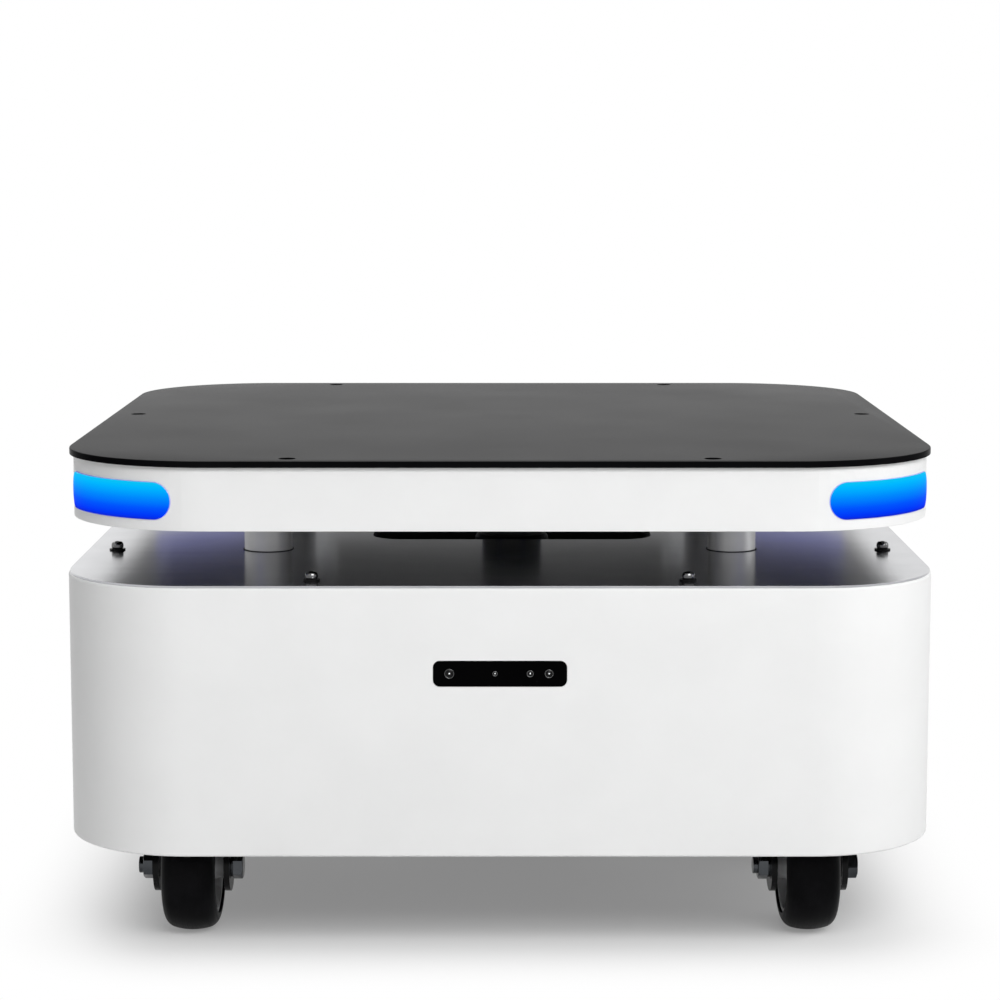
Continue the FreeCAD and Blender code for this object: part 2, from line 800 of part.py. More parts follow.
def make_deck_skirt():
    inside = skirt_width - 2.0 * skirt_sheet
    radius = skirt_corner_radius - skirt_sheet
    outer = rounded_block(skirt_width, skirt_width, skirt_corner_radius, skirt_bottom_z, skirt_top_z)
    inner = rounded_block(inside, inside, radius, skirt_bottom_z + skirt_sheet, skirt_top_z)
    hem = skirt_sheet + skirt_hem_width
    mouth = rounded_block(skirt_width - 2.0 * hem, skirt_width - 2.0 * hem,
                          skirt_corner_radius - hem, skirt_bottom_z, skirt_bottom_z + skirt_sheet)
    slots = at_corners(light_solid(light_height, skirt_corner_radius - skirt_sheet - 1.0,
                                   skirt_corner_radius + 1.0))
    return outer.cut(Part.makeCompound([inner, mouth] + slots))


def make_light_strips():
    back = skirt_corner_radius - skirt_sheet
    window = light_solid(light_height, back, skirt_corner_radius + light_proud)
    flange = light_solid(light_height + 2.0 * light_flange_margin,
                         back - light_flange_thickness, back)
    return at_corners(window.fuse(flange).removeSplitter())


def make_deck_plate():
    z0 = skirt_top_z
    z1 = z0 + deck_plate_thickness
    plate = rounded_block(deck_plate_size, deck_plate_size, deck_plate_radius, z0, z1)
    rim = [edge for edge in plate.Edges if abs(edge.BoundBox.ZMin - edge.BoundBox.ZMax) < 1e-6
           and edge.BoundBox.ZMin > z1 - 0.01]
    plate = plate.makeFillet(deck_edge_round, rim)
    holes = [upright_rod(deck_hole_diameter, x, y, z0, z1) for x, y in deck_holes]
    return plate.cut(Part.makeCompound(holes))


# ---------------------------------------------------------------- front camera


def make_camera_glass():
    y0 = casing_front_y
    y1 = y0 + camera_glass_thickness
    glass = upright_block(camera_width, camera_height, camera_corner_radius - 0.3, y0, y1, 0, camera_z)
    pockets = []
    for x, radius in camera_lenses:
        pockets.append(depth_rod(2.0 * radius, y0, y0 + camera_lens_depth, x, camera_z))
    return glass.cut(Part.makeCompound(pockets))


def make_camera_lenses():
    solids = []
    back = casing_front_y + camera_lens_depth
    for x, radius in camera_lenses:
        lens = turned(((0, 0), (radius, 0), (radius, camera_lens_depth - 0.2),
                       (radius * 0.72, camera_lens_depth - 0.2), (radius * 0.6, 0.7),
                       (radius * 0.45, 0.9), (0, 1.1)))
        lens.rotate(Vector(0, 0, 0), Vector(1, 0, 0), 90.0)
        lens.translate(Vector(x, back, camera_z))
        solids.append(lens)
    return solids


def make_camera_body():
    y0 = casing_front_y + casing_sheet
    margin = 2.0 * camera_flange_margin
    flange = upright_block(camera_width + margin, camera_height + margin, 8.0,
                           y0, y0 + camera_flange_thickness, 0, camera_z)
    shell = upright_block(camera_width, camera_height, camera_corner_radius,
                          y0, y0 + camera_body_depth, 0, camera_z)
    plug = upright_block(14.0, 8.0, 2.0, y0 + camera_body_depth, y0 + camera_body_depth + 10.0,
                         40.0, camera_z)
    body = flange.multiFuse([shell, plug])
    fins = []
    for step in range(9):
        x = -24.0 + 6.0 * step
        fins.append(box(x - 1.5, x + 1.5, y0 + camera_body_depth - 4.0, y0 + camera_body_depth,
                        camera_z - camera_height / 2.0, camera_z + camera_height / 2.0))
    return body.cut(Part.makeCompound(fins)).removeSplitter()


# ---------------------------------------------------------------- rear service panel


panel_floor_y = casing_rear_y - casing_sheet - panel_depth


def make_service_panel():
    y0 = panel_floor_y - panel_sheet
    y1 = casing_rear_y - casing_sheet
    half_x = panel_width / 2.0
    half_z = panel_height / 2.0
    lip_x = half_x + panel_flange_width
    lip_z = half_z + panel_flange_width
    back = box(-half_x, half_x, y0, panel_floor_y, panel_z - half_z, panel_z + half_z)
    cuts = [depth_rod(stop_neck_diameter + stop_neck_hole_clearance, y0, panel_floor_y,
                      stop_x, panel_z),
            depth_rod(power_neck_diameter + stop_neck_hole_clearance, y0, panel_floor_y,
                      power_x, panel_z),
            upright_block(socket_width - 16.0, socket_height - 14.0, 4.0, y0, panel_floor_y,
                          socket_x, panel_z)]
    solids = [back.cut(Part.makeCompound(cuts))]
    for side in (-1, 1):
        near_z = panel_z + side * half_z
        far_z = near_z + side * panel_sheet
        edge_z = panel_z + side * lip_z
        wall = box(-half_x, half_x, y0, y1, min(near_z, far_z), max(near_z, far_z))
        lip = box(-lip_x, lip_x, y1 - panel_sheet, y1, min(near_z, edge_z), max(near_z, edge_z))
        solids.append(wall.fuse(lip).removeSplitter())
        near_x = side * half_x
        far_x = side * (half_x + panel_sheet)
        edge_x = side * lip_x
        wall = box(min(near_x, far_x), max(near_x, far_x), y0, y1, panel_z - half_z, panel_z + half_z)
        lip = box(min(near_x, edge_x), max(near_x, edge_x), y1 - panel_sheet, y1,
                  panel_z - half_z, panel_z + half_z)
        solids.append(wall.fuse(lip).removeSplitter())
    return solids


def facing_rear(points, x):
    solid = turned(points)
    solid.rotate(Vector(0, 0, 0), Vector(1, 0, 0), -90.0)
    solid.translate(Vector(x, panel_floor_y, panel_z))
    return solid


def make_stop_collar():
    collar = stop_collar_diameter / 2.0
    neck = stop_neck_diameter / 2.0
    top = stop_collar_thickness
    back = -panel_sheet
    solid = facing_rear(((0, back - 8.0), (neck, back - 8.0), (neck, 0), (collar, 0),
                         (collar, top * 0.6), (collar - 1.6, top), (0, top)), stop_x)
    half = stop_body_width / 2.0
    y0 = panel_floor_y - panel_sheet
    block = box(stop_x - half, stop_x + half, y0 - stop_body_depth, y0,
                panel_z - half, panel_z + half)
    bore = facing_rear(((0, -16.0), (stop_stem_diameter / 2.0 + running_clearance, -16.0),
                        (stop_stem_diameter / 2.0 + running_clearance, top), (0, top)), stop_x)
    return solid.fuse(block).cut(bore)


def make_stop_button():
    stem = stop_stem_diameter / 2.0
    head = stop_head_diameter / 2.0
    foot = stop_collar_thickness + stop_travel + end_gap
    crown = foot + stop_head_height
    button = facing_rear(((0, -10.0), (stem, -10.0), (stem, foot), (head - 3.0, foot),
                          (head, foot + 2.5), (head, crown - 4.5), (head - 1.6, crown - 1.8),
                          (head - 5.0, crown), (0, crown + 0.8)), stop_x)
    return button


def make_power_bezel():
    ring = power_bezel_diameter / 2.0
    neck = power_neck_diameter / 2.0
    cap = power_cap_diameter / 2.0 + running_clearance
    top = power_bezel_thickness
    back = -panel_sheet - power_body_depth
    solid = facing_rear(((0, back), (neck - 1.0, back), (neck - 1.0, -panel_sheet - 9.0),
                         (neck, -panel_sheet - 9.0), (neck, 0), (ring, 0), (ring, top - 0.8),
                         (ring - 1.2, top), (0, top)), power_x)
    bore = facing_rear(((0, -8.0), (cap, -8.0), (cap, top), (0, top)), power_x)
    return solid.cut(bore)


def make_power_button():
    cap = power_cap_diameter / 2.0
    top = power_bezel_thickness + power_travel - 0.6
    foot = -8.0 + power_travel + end_gap
    return facing_rear(((0, foot), (cap, foot), (cap, top - 0.5), (cap - 0.6, top),
                        (cap - 3.0, top), (cap - 3.6, top - 0.4), (0, top - 0.4)), power_x)


def make_charging_socket():
    y0 = panel_floor_y
    y1 = y0 + socket_face_thickness
    face = upright_block(socket_width, socket_height, socket_corner_radius, y0, y1, socket_x, panel_z)
    body = upright_block(socket_width - 16.0, socket_height - 14.0, 4.0, y0 - 34.0, y0,
                         socket_x, panel_z)
    recess = upright_block(socket_width - 14.0, socket_height - 18.0, 5.0, y1 - 3.0, y1,
                           socket_x, panel_z)
    socket = face.fuse(body).cut(recess)
    for side in (-1, 1):
        x = socket_x + side * socket_contact_spacing / 2.0
        well = depth_rod(socket_contact_diameter + 4.0, y1 - 16.0, y1, x, panel_z)
        socket = socket.cut(well).fuse(depth_rod(socket_contact_diameter, y1 - 16.0, y1 - 3.6,
                                                 x, panel_z))
    return socket


# ---------------------------------------------------------------- casters

caster_axle_z = caster_wheel_diameter / 2.0
race_top_z = chassis_plate_bottom_z - caster_plate_thickness - caster_race_height
fork_top_z = race_top_z - caster_race_gap
leg_outer_half = caster_leg_inner_half + caster_leg_thickness


def make_caster_mount():
    z1 = chassis_plate_bottom_z
    z0 = z1 - caster_plate_thickness
    pin = caster_kingpin_diameter / 2.0
    crown_z = caster_crown_z - end_gap
    plate = rounded_block(caster_plate_width, caster_plate_depth, 8.0, z0, z1)
    race = turned(((0, crown_z - 4.0), (8.5, crown_z - 4.0), (9.5, crown_z - 3.0), (9.5, crown_z),
                   (pin, crown_z), (pin, race_top_z), (26.0, race_top_z), (30.0, race_top_z + 3.0),
                   (30.0, z0), (0, z0)))
    mount = plate.fuse(race)
    for bx, by in four_places(caster_bolt_spacing_x / 2.0, caster_bolt_spacing_y / 2.0):
        mount = mount.cut(upright_rod(bolt_hole_diameter, bx, by, z0, z1))
    return mount


def make_caster_fork():
    z0 = caster_crown_z
    z1 = z0 + caster_crown_thickness
    race = caster_race_diameter / 2.0
    crown = box(-leg_outer_half, leg_outer_half, -34.0, 28.0, z0, z1)
    cup = turned(((0, z0), (race - 3.0, z0), (race, z1), (race, fork_top_z - 1.5),
                  (race - 2.0, fork_top_z), (0, fork_top_z)))
    cup = cup.common(box(-40.0, 40.0, -40.0, 40.0, z0, fork_top_z))
    ceiling = box(-60.0, 60.0, -120.0, 80.0, 0.0, z1)
    legs = []
    for side in (-1, 1):
        x0 = caster_leg_inner_half if side > 0 else -leg_outer_half
        leg = link(-3.0, z1 - 22.0, 31.0, -caster_trail, caster_axle_z, caster_leg_end_radius,
                   x0, x0 + caster_leg_thickness)
        gusset = box(x0, x0 + caster_leg_thickness, -34.0, 28.0, z1 - 22.0, z1)
        legs.append(leg.fuse(gusset).common(ceiling))
    fork = crown.multiFuse([cup] + legs).removeSplitter()
    bore = upright_rod(caster_kingpin_diameter + 2.0 * running_clearance, 0, 0, z0, fork_top_z)
    axle = across_rod(caster_axle_diameter, -leg_outer_half, leg_outer_half, -caster_trail, caster_axle_z)
    fork = fork.cut(bore).cut(axle)
    bends = []
    for edge in fork.Edges:
        span = edge.BoundBox
        flat = span.ZMax - span.ZMin < 1e-4 and span.XMax - span.XMin < 1e-4
        if flat and abs(span.ZMin - z1) < 1e-3 and abs(abs(span.XMin) - leg_outer_half) < 1e-3:
            bends.append(edge)
    return fork.makeFillet(4.0, bends)


def make_caster_rim():
    outer = caster_wheel_diameter / 2.0 - caster_tyre_thickness
    hub = caster_hub_diameter / 2.0
    bore = caster_axle_diameter / 2.0 + running_clearance
    side = caster_leg_inner_half - end_gap
    rim_half = caster_rim_width / 2.0
    web = caster_web_thickness / 2.0
    lip = outer - 5.0
    rim = turned_across(((bore, -side), (hub - 5.0, -side), (hub - 4.0, -rim_half + 2.0),
                         (hub, -web - 2.0), (hub + 3.0, -web), (lip - 3.0, -web),
                         (lip, -web - 4.0), (lip + 1.0, -rim_half), (outer, -rim_half),
                         (outer, rim_half), (lip + 1.0, rim_half), (lip, web + 4.0),
                         (lip - 3.0, web), (hub + 3.0, web), (hub, web + 2.0),
                         (hub - 4.0, rim_half - 2.0), (hub - 5.0, side), (bore, side)))
    rim.translate(Vector(0, -caster_trail, caster_axle_z))
    return rim


def make_caster_tyre():
    outer = caster_wheel_diameter / 2.0
    inner = outer - caster_tyre_thickness
    half = caster_tyre_width / 2.0
    shoulder = caster_tyre_shoulder
    crown = caster_tyre_crown_radius
    # The shoulder arcs run on from the crowned tread without a crease: their centres lie
    # crown - shoulder away from the crown's centre.
    reach = crown - shoulder
    rise = math.sqrt(reach ** 2 - (half - shoulder) ** 2)
    side_radius = outer - crown + rise
    join = Vector(outer - crown + rise * crown / reach, 0, (half - shoulder) * crown / reach)
    lean = math.atan2(half - shoulder, rise)
    middle = (lean + math.pi / 2.0) / 2.0
    bend = Vector(side_radius + shoulder * math.cos(middle), 0,
                  half - shoulder + shoulder * math.sin(middle))
    low_join, low_bend = (Vector(p.x, 0, -p.z) for p in (join, bend))
    edges = [Part.makeLine(Vector(inner, 0, -half), Vector(side_radius, 0, -half)),
             Part.Arc(Vector(side_radius, 0, -half), low_bend, low_join).toShape(),
             Part.Arc(low_join, Vector(outer, 0, 0), join).toShape(),
             Part.Arc(join, bend, Vector(side_radius, 0, half)).toShape(),
             Part.makeLine(Vector(side_radius, 0, half), Vector(inner, 0, half)),
             Part.makeLine(Vector(inner, 0, half), Vector(inner, 0, -half))]
    tyre = Part.Face(Part.Wire(edges)).revolve(Vector(0, 0, 0), Vector(0, 0, 1), 360.0)
    tyre.rotate(Vector(0, 0, 0), Vector(0, 1, 0), 90.0)
    tyre.translate(Vector(0, -caster_trail, caster_axle_z))
    return tyre


def make_caster_axle(head_turn):
    washer_end = leg_outer_half + caster_washer_thickness
    end = washer_end + caster_nut_height + caster_thread_overhang
    solids = []
    for side in (-1, 1):
        x0 = leg_outer_half if side > 0 else -washer_end
        washer = across_rod(caster_washer_diameter, x0, x0 + caster_washer_thickness, 0, 0)
        solids.append(washer.cut(across_rod(caster_axle_diameter, x0, x0 + caster_washer_thickness, 0, 0)))
    head = chamfered_hexagon(caster_hex_across_flats, 0, caster_head_height)
    head.rotate(Vector(0, 0, 0), Vector(0, 1, 0), 90.0)
    head.rotate(Vector(0, 0, 0), Vector(1, 0, 0), head_turn)
    head.translate(Vector(washer_end, 0, 0))
    solids.append(head.fuse(across_rod(caster_axle_diameter, -end, washer_end, 0, 0)))
    nut = chamfered_hexagon(caster_hex_across_flats, 0, caster_nut_height)
    nut.rotate(Vector(0, 0, 0), Vector(0, 1, 0), -90.0)
    nut.translate(Vector(-washer_end, 0, 0))
    solids.append(nut.cut(across_rod(caster_axle_diameter, -end, -washer_end, 0, 0)))
    for solid in solids:
        solid.translate(Vector(0, -caster_trail, caster_axle_z))
    return solids


def placed_caster(solids, x, y, swivel):
    placed = []
    for solid in solids:
        copy = solid.copy()
        copy.rotate(Vector(0, 0, 0), Vector(0, 0, 1), swivel)
        copy.translate(Vector(x, y, 0))
        placed.append(copy)
    return placed


def save_casters():
    places = (("front_left", -caster_x, -caster_y, front_left_swivel, 0.0),
              ("front_right", caster_x, -caster_y, front_right_swivel, front_right_head_turn),
              ("rear_left", -caster_x, caster_y, 0.0, 0.0),
              ("rear_right", caster_x, caster_y, 0.0, 0.0))
    mounts = []
    for name, x, y, swivel, head_turn in places:
        mounts += placed_caster([make_caster_mount()], x, y, 0.0)
        save("caster_fork_" + name, placed_caster([make_caster_fork()], x, y, swivel))
        save("caster_rim_" + name, placed_caster([make_caster_rim()], x, y, swivel))
        save("caster_tyre_" + name, placed_caster([make_caster_tyre()], x, y, swivel))
        save("caster_axle_" + name, placed_caster(make_caster_axle(head_turn), x, y, swivel))
    save("caster_mounts", mounts)


def make_frame_bolts():
    solids = []
    z0 = chassis_plate_bottom_z - caster_plate_thickness
    z1 = chassis_plate_top_z
    head = hexagon(bolt_across_flats, z0 - bolt_head_height, z0, 0, 0)
    bolt = head.fuse(upright_rod(bolt_diameter, 0, 0, z0, z1 + bolt_nut_height + 2.0))
    nut = hexagon(bolt_across_flats, z1, z1 + bolt_nut_height, 0, 0)
    nut = nut.cut(upright_rod(bolt_diameter, 0, 0, z1, z1 + bolt_nut_height))
    for x, y in caster_bolt_places():
        solids.append(bolt.translated(Vector(x, y, 0)))
        solids.append(nut.translated(Vector(x, y, 0)))
    z2 = deck_rail_bottom_z - post_flange_thickness
    short_head = hexagon(bolt_across_flats, z2 - bolt_head_height, z2, 0, 0)
    short_bolt = short_head.fuse(upright_rod(bolt_diameter, 0, 0, z2, z2 + post_flange_thickness
                                             + 2.0 * frame_wall))
    for x, y in post_bolt_places():
        solids.append(short_bolt.translated(Vector(x, y, 0)))
    return solids


# ---------------------------------------------------------------- drive units

arm_inner_x = arm_x - arm_thickness / 2.0
arm_outer_x = arm_x + arm_thickness / 2.0


def make_drive_bracket():
    lugs = []
    for x0 in (arm_inner_x - pivot_lug_gap - pivot_lug_thickness, arm_outer_x + pivot_lug_gap):
        x1 = x0 + pivot_lug_thickness
        eye = across_rod(2.0 * arm_pivot_radius, x0, x1, arm_pivot_y, arm_pivot_z)
        cheek = box(x0, x1, arm_pivot_y - arm_pivot_radius, arm_pivot_y + arm_pivot_radius,
                    arm_pivot_z, chassis_plate_bottom_z)
        lug = eye.fuse(cheek).removeSplitter()
        lugs.append(lug.cut(across_rod(pivot_pin_diameter, x0, x1, arm_pivot_y, arm_pivot_z)))
    z0 = chassis_plate_top_z
    tower = turned(((tower_bore_diameter / 2.0, z0), (tower_flange_diameter / 2.0, z0),
                    (tower_flange_diameter / 2.0, z0 + tower_flange_thickness),
                    (tower_outer_diameter / 2.0, z0 + tower_flange_thickness),
                    (tower_outer_diameter / 2.0, tower_top_z - 2.0),
                    (tower_outer_diameter / 2.0 - 2.0, tower_top_z), (0, tower_top_z),
                    (0, tower_top_z - tower_cap_thickness),
                    (tower_bore_diameter / 2.0, tower_top_z - tower_cap_thickness)))
    tower.translate(Vector(arm_x, arm_spring_y, 0))
    return lugs + [tower]


def make_pivot_pin():
    x0 = arm_inner_x - pivot_lug_gap - pivot_lug_thickness
    x1 = arm_outer_x + pivot_lug_gap + pivot_lug_thickness
    pin = across_rod(pivot_pin_diameter, x0, x1, arm_pivot_y, arm_pivot_z)
    head = across_rod(pivot_head_diameter, x0 - pivot_head_thickness, x0, arm_pivot_y, arm_pivot_z)
    clip = across_rod(pivot_head_diameter, x1, x1 + 1.5, arm_pivot_y, arm_pivot_z)
    return pin.multiFuse([head, clip])


def make_drive_arm():
    front = link(arm_pivot_y, arm_pivot_z, arm_pivot_radius, 0.0, drive_axle_z, arm_axle_radius,
                 arm_inner_x, arm_outer_x)
    rear = link(0.0, drive_axle_z, arm_axle_radius, arm_spring_y, arm_spring_z, arm_spring_radius,
                arm_inner_x, arm_outer_x)
    seat = upright_rod(spring_seat_diameter, arm_x, arm_spring_y, spring_seat_top_z - 8.0,
                       spring_seat_top_z)
    spigot = upright_rod(22.0, arm_x, arm_spring_y, spring_seat_top_z, spring_seat_top_z + 10.0)
    arm = front.multiFuse([rear, seat, spigot])
    pin = across_rod(pivot_pin_diameter + 2.0 * running_clearance, arm_inner_x, arm_outer_x,
                     arm_pivot_y, arm_pivot_z)
    shaft = across_rod(drive_shaft_diameter + 2.0 * running_clearance, arm_inner_x, arm_outer_x,
                       0.0, drive_axle_z)
    window = link(-62.0, 108.0, 8.0, -78.0, 113.5, 6.0, arm_inner_x, arm_outer_x)
    rear_window = link(66.0, 106.0, 11.0, 96.0, 115.0, 7.0, arm_inner_x, arm_outer_x)
    return arm.cut(Part.makeCompound([pin, shaft, window, rear_window]))


def make_gearmotor():
    x0 = arm_inner_x
    x1 = x0 - gearbox_flange_length
    x2 = x1 - gearbox_length
    x3 = x2 - motor_length
    x4 = x3 - encoder_length
    pieces = [across_rod(gearbox_flange_diameter, x1, x0, 0, drive_axle_z),
              across_rod(gearbox_diameter, x2, x1, 0, drive_axle_z),
              across_rod(motor_diameter, x3, x2, 0, drive_axle_z),
              across_rod(encoder_diameter, x4, x3, 0, drive_axle_z),
              box(x3 + 18.0, x3 + 58.0, -18.0, 18.0, drive_axle_z + 20.0,
                  drive_axle_z + motor_diameter / 2.0 + 9.0)]
    motor = pieces[0].multiFuse(pieces[1:]).removeSplitter()
    grooves = []
    for step in range(5):
        x = x2 - 14.0 - 5.0 * step
        ring = across_rod(motor_diameter + 2.0, x - 2.0, x, 0, drive_axle_z)
        grooves.append(ring.cut(across_rod(motor_diameter - 4.0, x - 2.0, x, 0, drive_axle_z)))
    bore = across_rod(drive_shaft_diameter + 2.0 * running_clearance, x0 - 20.0, x0, 0, drive_axle_z)
    motor = motor.cut(bore)
    saddle = box(x3 + 16.0, x3 + 60.0, -22.0, 22.0, drive_axle_z, drive_axle_z + 60.0)
    return motor.cut(Part.makeCompound(grooves).cut(saddle))


def make_drive_hub():
    outer = drive_wheel_diameter / 2.0 - drive_tyre_thickness
    half = drive_tyre_width / 2.0 - 1.5
    web = drive_web_thickness / 2.0
    shaft = drive_shaft_diameter / 2.0
    boss = drive_hub_diameter / 2.0
    inner_end = arm_outer_x + end_gap - drive_wheel_x
    shaft_end = arm_inner_x - 18.0 - drive_wheel_x
    hub = turned_across(((0, shaft_end), (shaft, shaft_end), (shaft, inner_end), (boss - 12.0, inner_end),
                         (boss - 8.0, -half), (boss, -web - 3.0), (outer - 9.0, -web),
                         (outer - 6.0, -half), (outer, -half), (outer, half), (outer - 6.0, half),
                         (outer - 9.0, web), (boss, web + 3.0), (boss - 4.0, half - 4.0),
                         (boss - 8.0, half - 2.0), (0, half - 2.0)))
    holes = []
    for step in range(drive_web_holes):
        angle = 2.0 * math.pi * (step + 0.5) / drive_web_holes
        y = drive_web_hole_circle / 2.0 * math.cos(angle)
        z = drive_web_hole_circle / 2.0 * math.sin(angle)
        holes.append(across_rod(drive_web_hole_diameter, -web - 8.0, web + 8.0, y, z))
    hub = hub.cut(Part.makeCompound(holes))
    hub.translate(Vector(drive_wheel_x, 0, drive_axle_z))
    return hub


def make_drive_tyre():
    outer = drive_wheel_diameter / 2.0
    inner = outer - drive_tyre_thickness
    half = drive_tyre_width / 2.0
    s = drive_tyre_shoulder
    tyre = turned_across(((inner, -half), (outer - s, -half), (outer - s * 0.3, -half + s * 0.35),
                          (outer, -half + s * 1.1), (outer, half - s * 1.1),
                          (outer - s * 0.3, half - s * 0.35), (outer - s, half), (inner, half)))
    grooves = []
    for x in (-7.0, 7.0):
        ring = across_rod(2.0 * outer + 2.0, x - 1.2, x + 1.2, 0, 0)
        grooves.append(ring.cut(across_rod(2.0 * outer - 5.0, x - 1.2, x + 1.2, 0, 0)))
    tyre = tyre.cut(Part.makeCompound(grooves))
    tyre.translate(Vector(drive_wheel_x, 0, drive_axle_z))
    return tyre


def make_drive_spring():
    wire_radius = spring_wire_diameter / 2.0
    coil_radius = spring_outer_diameter / 2.0 - wire_radius
    z0 = spring_seat_top_z + wire_radius
    z1 = tower_top_z - tower_cap_thickness - wire_radius
    helix = Part.makeHelix(spring_pitch, z1 - z0, coil_radius)
    points = []
    for step in range(9):
        angle = math.radians(45.0 * step + 22.5)
        points.append(Vector(coil_radius + wire_radius * math.cos(angle), 0,
                             wire_radius * math.sin(angle)))
    section = Part.makePolygon(points)
    coil = Part.Wire(helix).makePipeShell([section], True, True)
    coil.translate(Vector(arm_x, arm_spring_y, z0))
    return coil


def save_drives():
    makers = (("drive_arm", make_drive_arm()), ("gearmotor", make_gearmotor()),
              ("drive_hub", make_drive_hub()), ("drive_tyre", make_drive_tyre()),
              ("drive_spring", make_drive_spring()))
    for name, solid in makers:
        save(name + "_right", [solid])
        save(name + "_left", [mirrored(solid)])
    bracket = make_drive_bracket()
    save("drive_brackets", bracket + [mirrored(solid) for solid in bracket])
    pin = make_pivot_pin()
    save("drive_pivot_pins", [pin, mirrored(pin)])


# ---------------------------------------------------------------- battery and electronics


def make_battery():
    z0 = chassis_plate_top_z
    z1 = z0 + battery_height
    pack = rounded_block(battery_width, battery_depth, 8.0, z0, z1, 0.0, battery_y)
    ribs = []
    for step in range(6):
        x = -battery_width / 2.0 + 35.0 + 54.0 * step
        ribs.append(box(x, x + 4.0, battery_y - battery_depth / 2.0, battery_y + battery_depth / 2.0,
                        z1 - 5.0, z1))
    pack = pack.cut(Part.makeCompound(ribs))
    handle = rounded_block(120.0, 20.0, 4.0, z1, z1 + 14.0, 0.0, battery_y)
    grip = box(-48.0, 48.0, battery_y - 10.0, battery_y + 10.0, z1, z1 + 9.0)
    plug = box(110.0, 150.0, battery_y - battery_depth / 2.0 - 10.0, battery_y - battery_depth / 2.0,
               z0 + 70.0, z0 + 96.0)
    return pack.fuse(handle.cut(grip)).fuse(plug)


def finned_box(width, depth, height, x, y, z0):
    base = rounded_block(width, depth, 5.0, z0, z0 + height - fin_height, x, y)
    fins = []
    count = int(width // 10.0) - 1
    for step in range(count):
        fx = x - (count - 1) * 5.0 + 10.0 * step
        fins.append(box(fx - fin_thickness / 2.0, fx + fin_thickness / 2.0, y - depth / 2.0 + 6.0,
                        y + depth / 2.0 - 6.0, z0 + height - fin_height, z0 + height))
    return base.multiFuse(fins)


def make_control_unit():
    z0 = chassis_plate_top_z
    unit = finned_box(control_width, control_depth, control_height, 0.0, control_y, z0)
    front = control_y - control_depth / 2.0
    ports = []
    for step in range(5):
        x = -74.0 + 36.0 * step
        ports.append(box(x, x + 20.0, front, front + 8.0, z0 + 14.0, z0 + 26.0))
    return unit.cut(Part.makeCompound(ports))


def make_motor_drivers():
    z0 = chassis_plate_top_z
    solids = []
    for side in (-1, 1):
        solids.append(finned_box(driver_width, driver_depth, driver_height,
                                 side * driver_x, driver_y, z0))
    return solids


save("chassis_plate", [make_chassis_plate()])
save("chassis_frame", [make_chassis_frame()])
save("casing_shell", [make_casing_shell()])
save("casing_brackets", make_shell_brackets())
save("base_top_plate", [make_base_top_plate()])
save("top_plate_screws", make_top_plate_screws())
save("top_plate_washers", make_top_plate_washers())
save("lidar_well", [make_scanner_well()])
save("lidar_body", [make_scanner_body()])
save("lidar_window", [make_scanner_window()])
save("lidar_cap", [make_scanner_cap()])
save("lidar_rotor", [make_scanner_rotor()])
save("deck_posts", make_deck_posts())
save("post_grommets", make_post_grommets())
save("deck_frame", [make_deck_frame()])
save("deck_skirt", [make_deck_skirt()])
save("deck_plate", [make_deck_plate()])
save("light_strips", make_light_strips())
save("depth_camera_body", [make_camera_body()])
save("depth_camera_glass", [make_camera_glass()])
save("depth_camera_lenses", make_camera_lenses())
save("service_panel", make_service_panel())
save("emergency_stop_collar", [make_stop_collar()])
save("emergency_stop_button", [make_stop_button()])
save("power_button_bezel", [make_power_bezel()])
save("power_button", [make_power_button()])
save("charging_socket", [make_charging_socket()])
save("frame_bolts", make_frame_bolts())
save("battery_pack", [make_battery()])
save("control_unit", [make_control_unit()])
save("motor_drivers", make_motor_drivers())
save_casters()
save_drives()
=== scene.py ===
import json
import math

import bmesh
import bpy
import numpy as np
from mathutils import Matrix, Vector

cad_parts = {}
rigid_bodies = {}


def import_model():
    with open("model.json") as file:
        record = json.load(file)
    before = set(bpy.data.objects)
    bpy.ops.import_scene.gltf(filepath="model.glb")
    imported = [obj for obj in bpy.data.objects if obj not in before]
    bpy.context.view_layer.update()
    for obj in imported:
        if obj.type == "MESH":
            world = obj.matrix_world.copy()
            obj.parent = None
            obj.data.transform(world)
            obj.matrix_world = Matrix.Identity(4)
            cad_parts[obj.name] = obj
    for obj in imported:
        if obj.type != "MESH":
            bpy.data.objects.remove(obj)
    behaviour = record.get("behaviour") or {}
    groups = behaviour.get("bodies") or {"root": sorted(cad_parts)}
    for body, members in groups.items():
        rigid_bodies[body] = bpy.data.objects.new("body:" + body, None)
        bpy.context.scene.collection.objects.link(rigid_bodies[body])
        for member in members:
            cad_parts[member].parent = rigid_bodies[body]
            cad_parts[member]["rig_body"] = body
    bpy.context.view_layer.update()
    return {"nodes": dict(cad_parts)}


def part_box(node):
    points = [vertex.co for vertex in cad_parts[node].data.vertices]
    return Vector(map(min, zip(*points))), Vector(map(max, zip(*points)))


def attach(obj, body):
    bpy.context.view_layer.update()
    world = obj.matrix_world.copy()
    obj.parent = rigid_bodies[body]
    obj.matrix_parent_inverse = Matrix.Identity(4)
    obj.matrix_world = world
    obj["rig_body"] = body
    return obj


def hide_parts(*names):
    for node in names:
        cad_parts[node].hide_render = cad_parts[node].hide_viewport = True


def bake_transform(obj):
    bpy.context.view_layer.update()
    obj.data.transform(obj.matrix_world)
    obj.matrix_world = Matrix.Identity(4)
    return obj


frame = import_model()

nodes = frame["nodes"]
scene = bpy.context.scene

caster_corners = ("front_left", "front_right", "rear_left", "rear_right")
drive_sides = ("left", "right")


def low_high(node):
    """The two corners of a CAD node's box, in metres."""
    low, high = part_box(node)
    return np.array(low), np.array(high)


# ------------------------------------------------------------------ camera

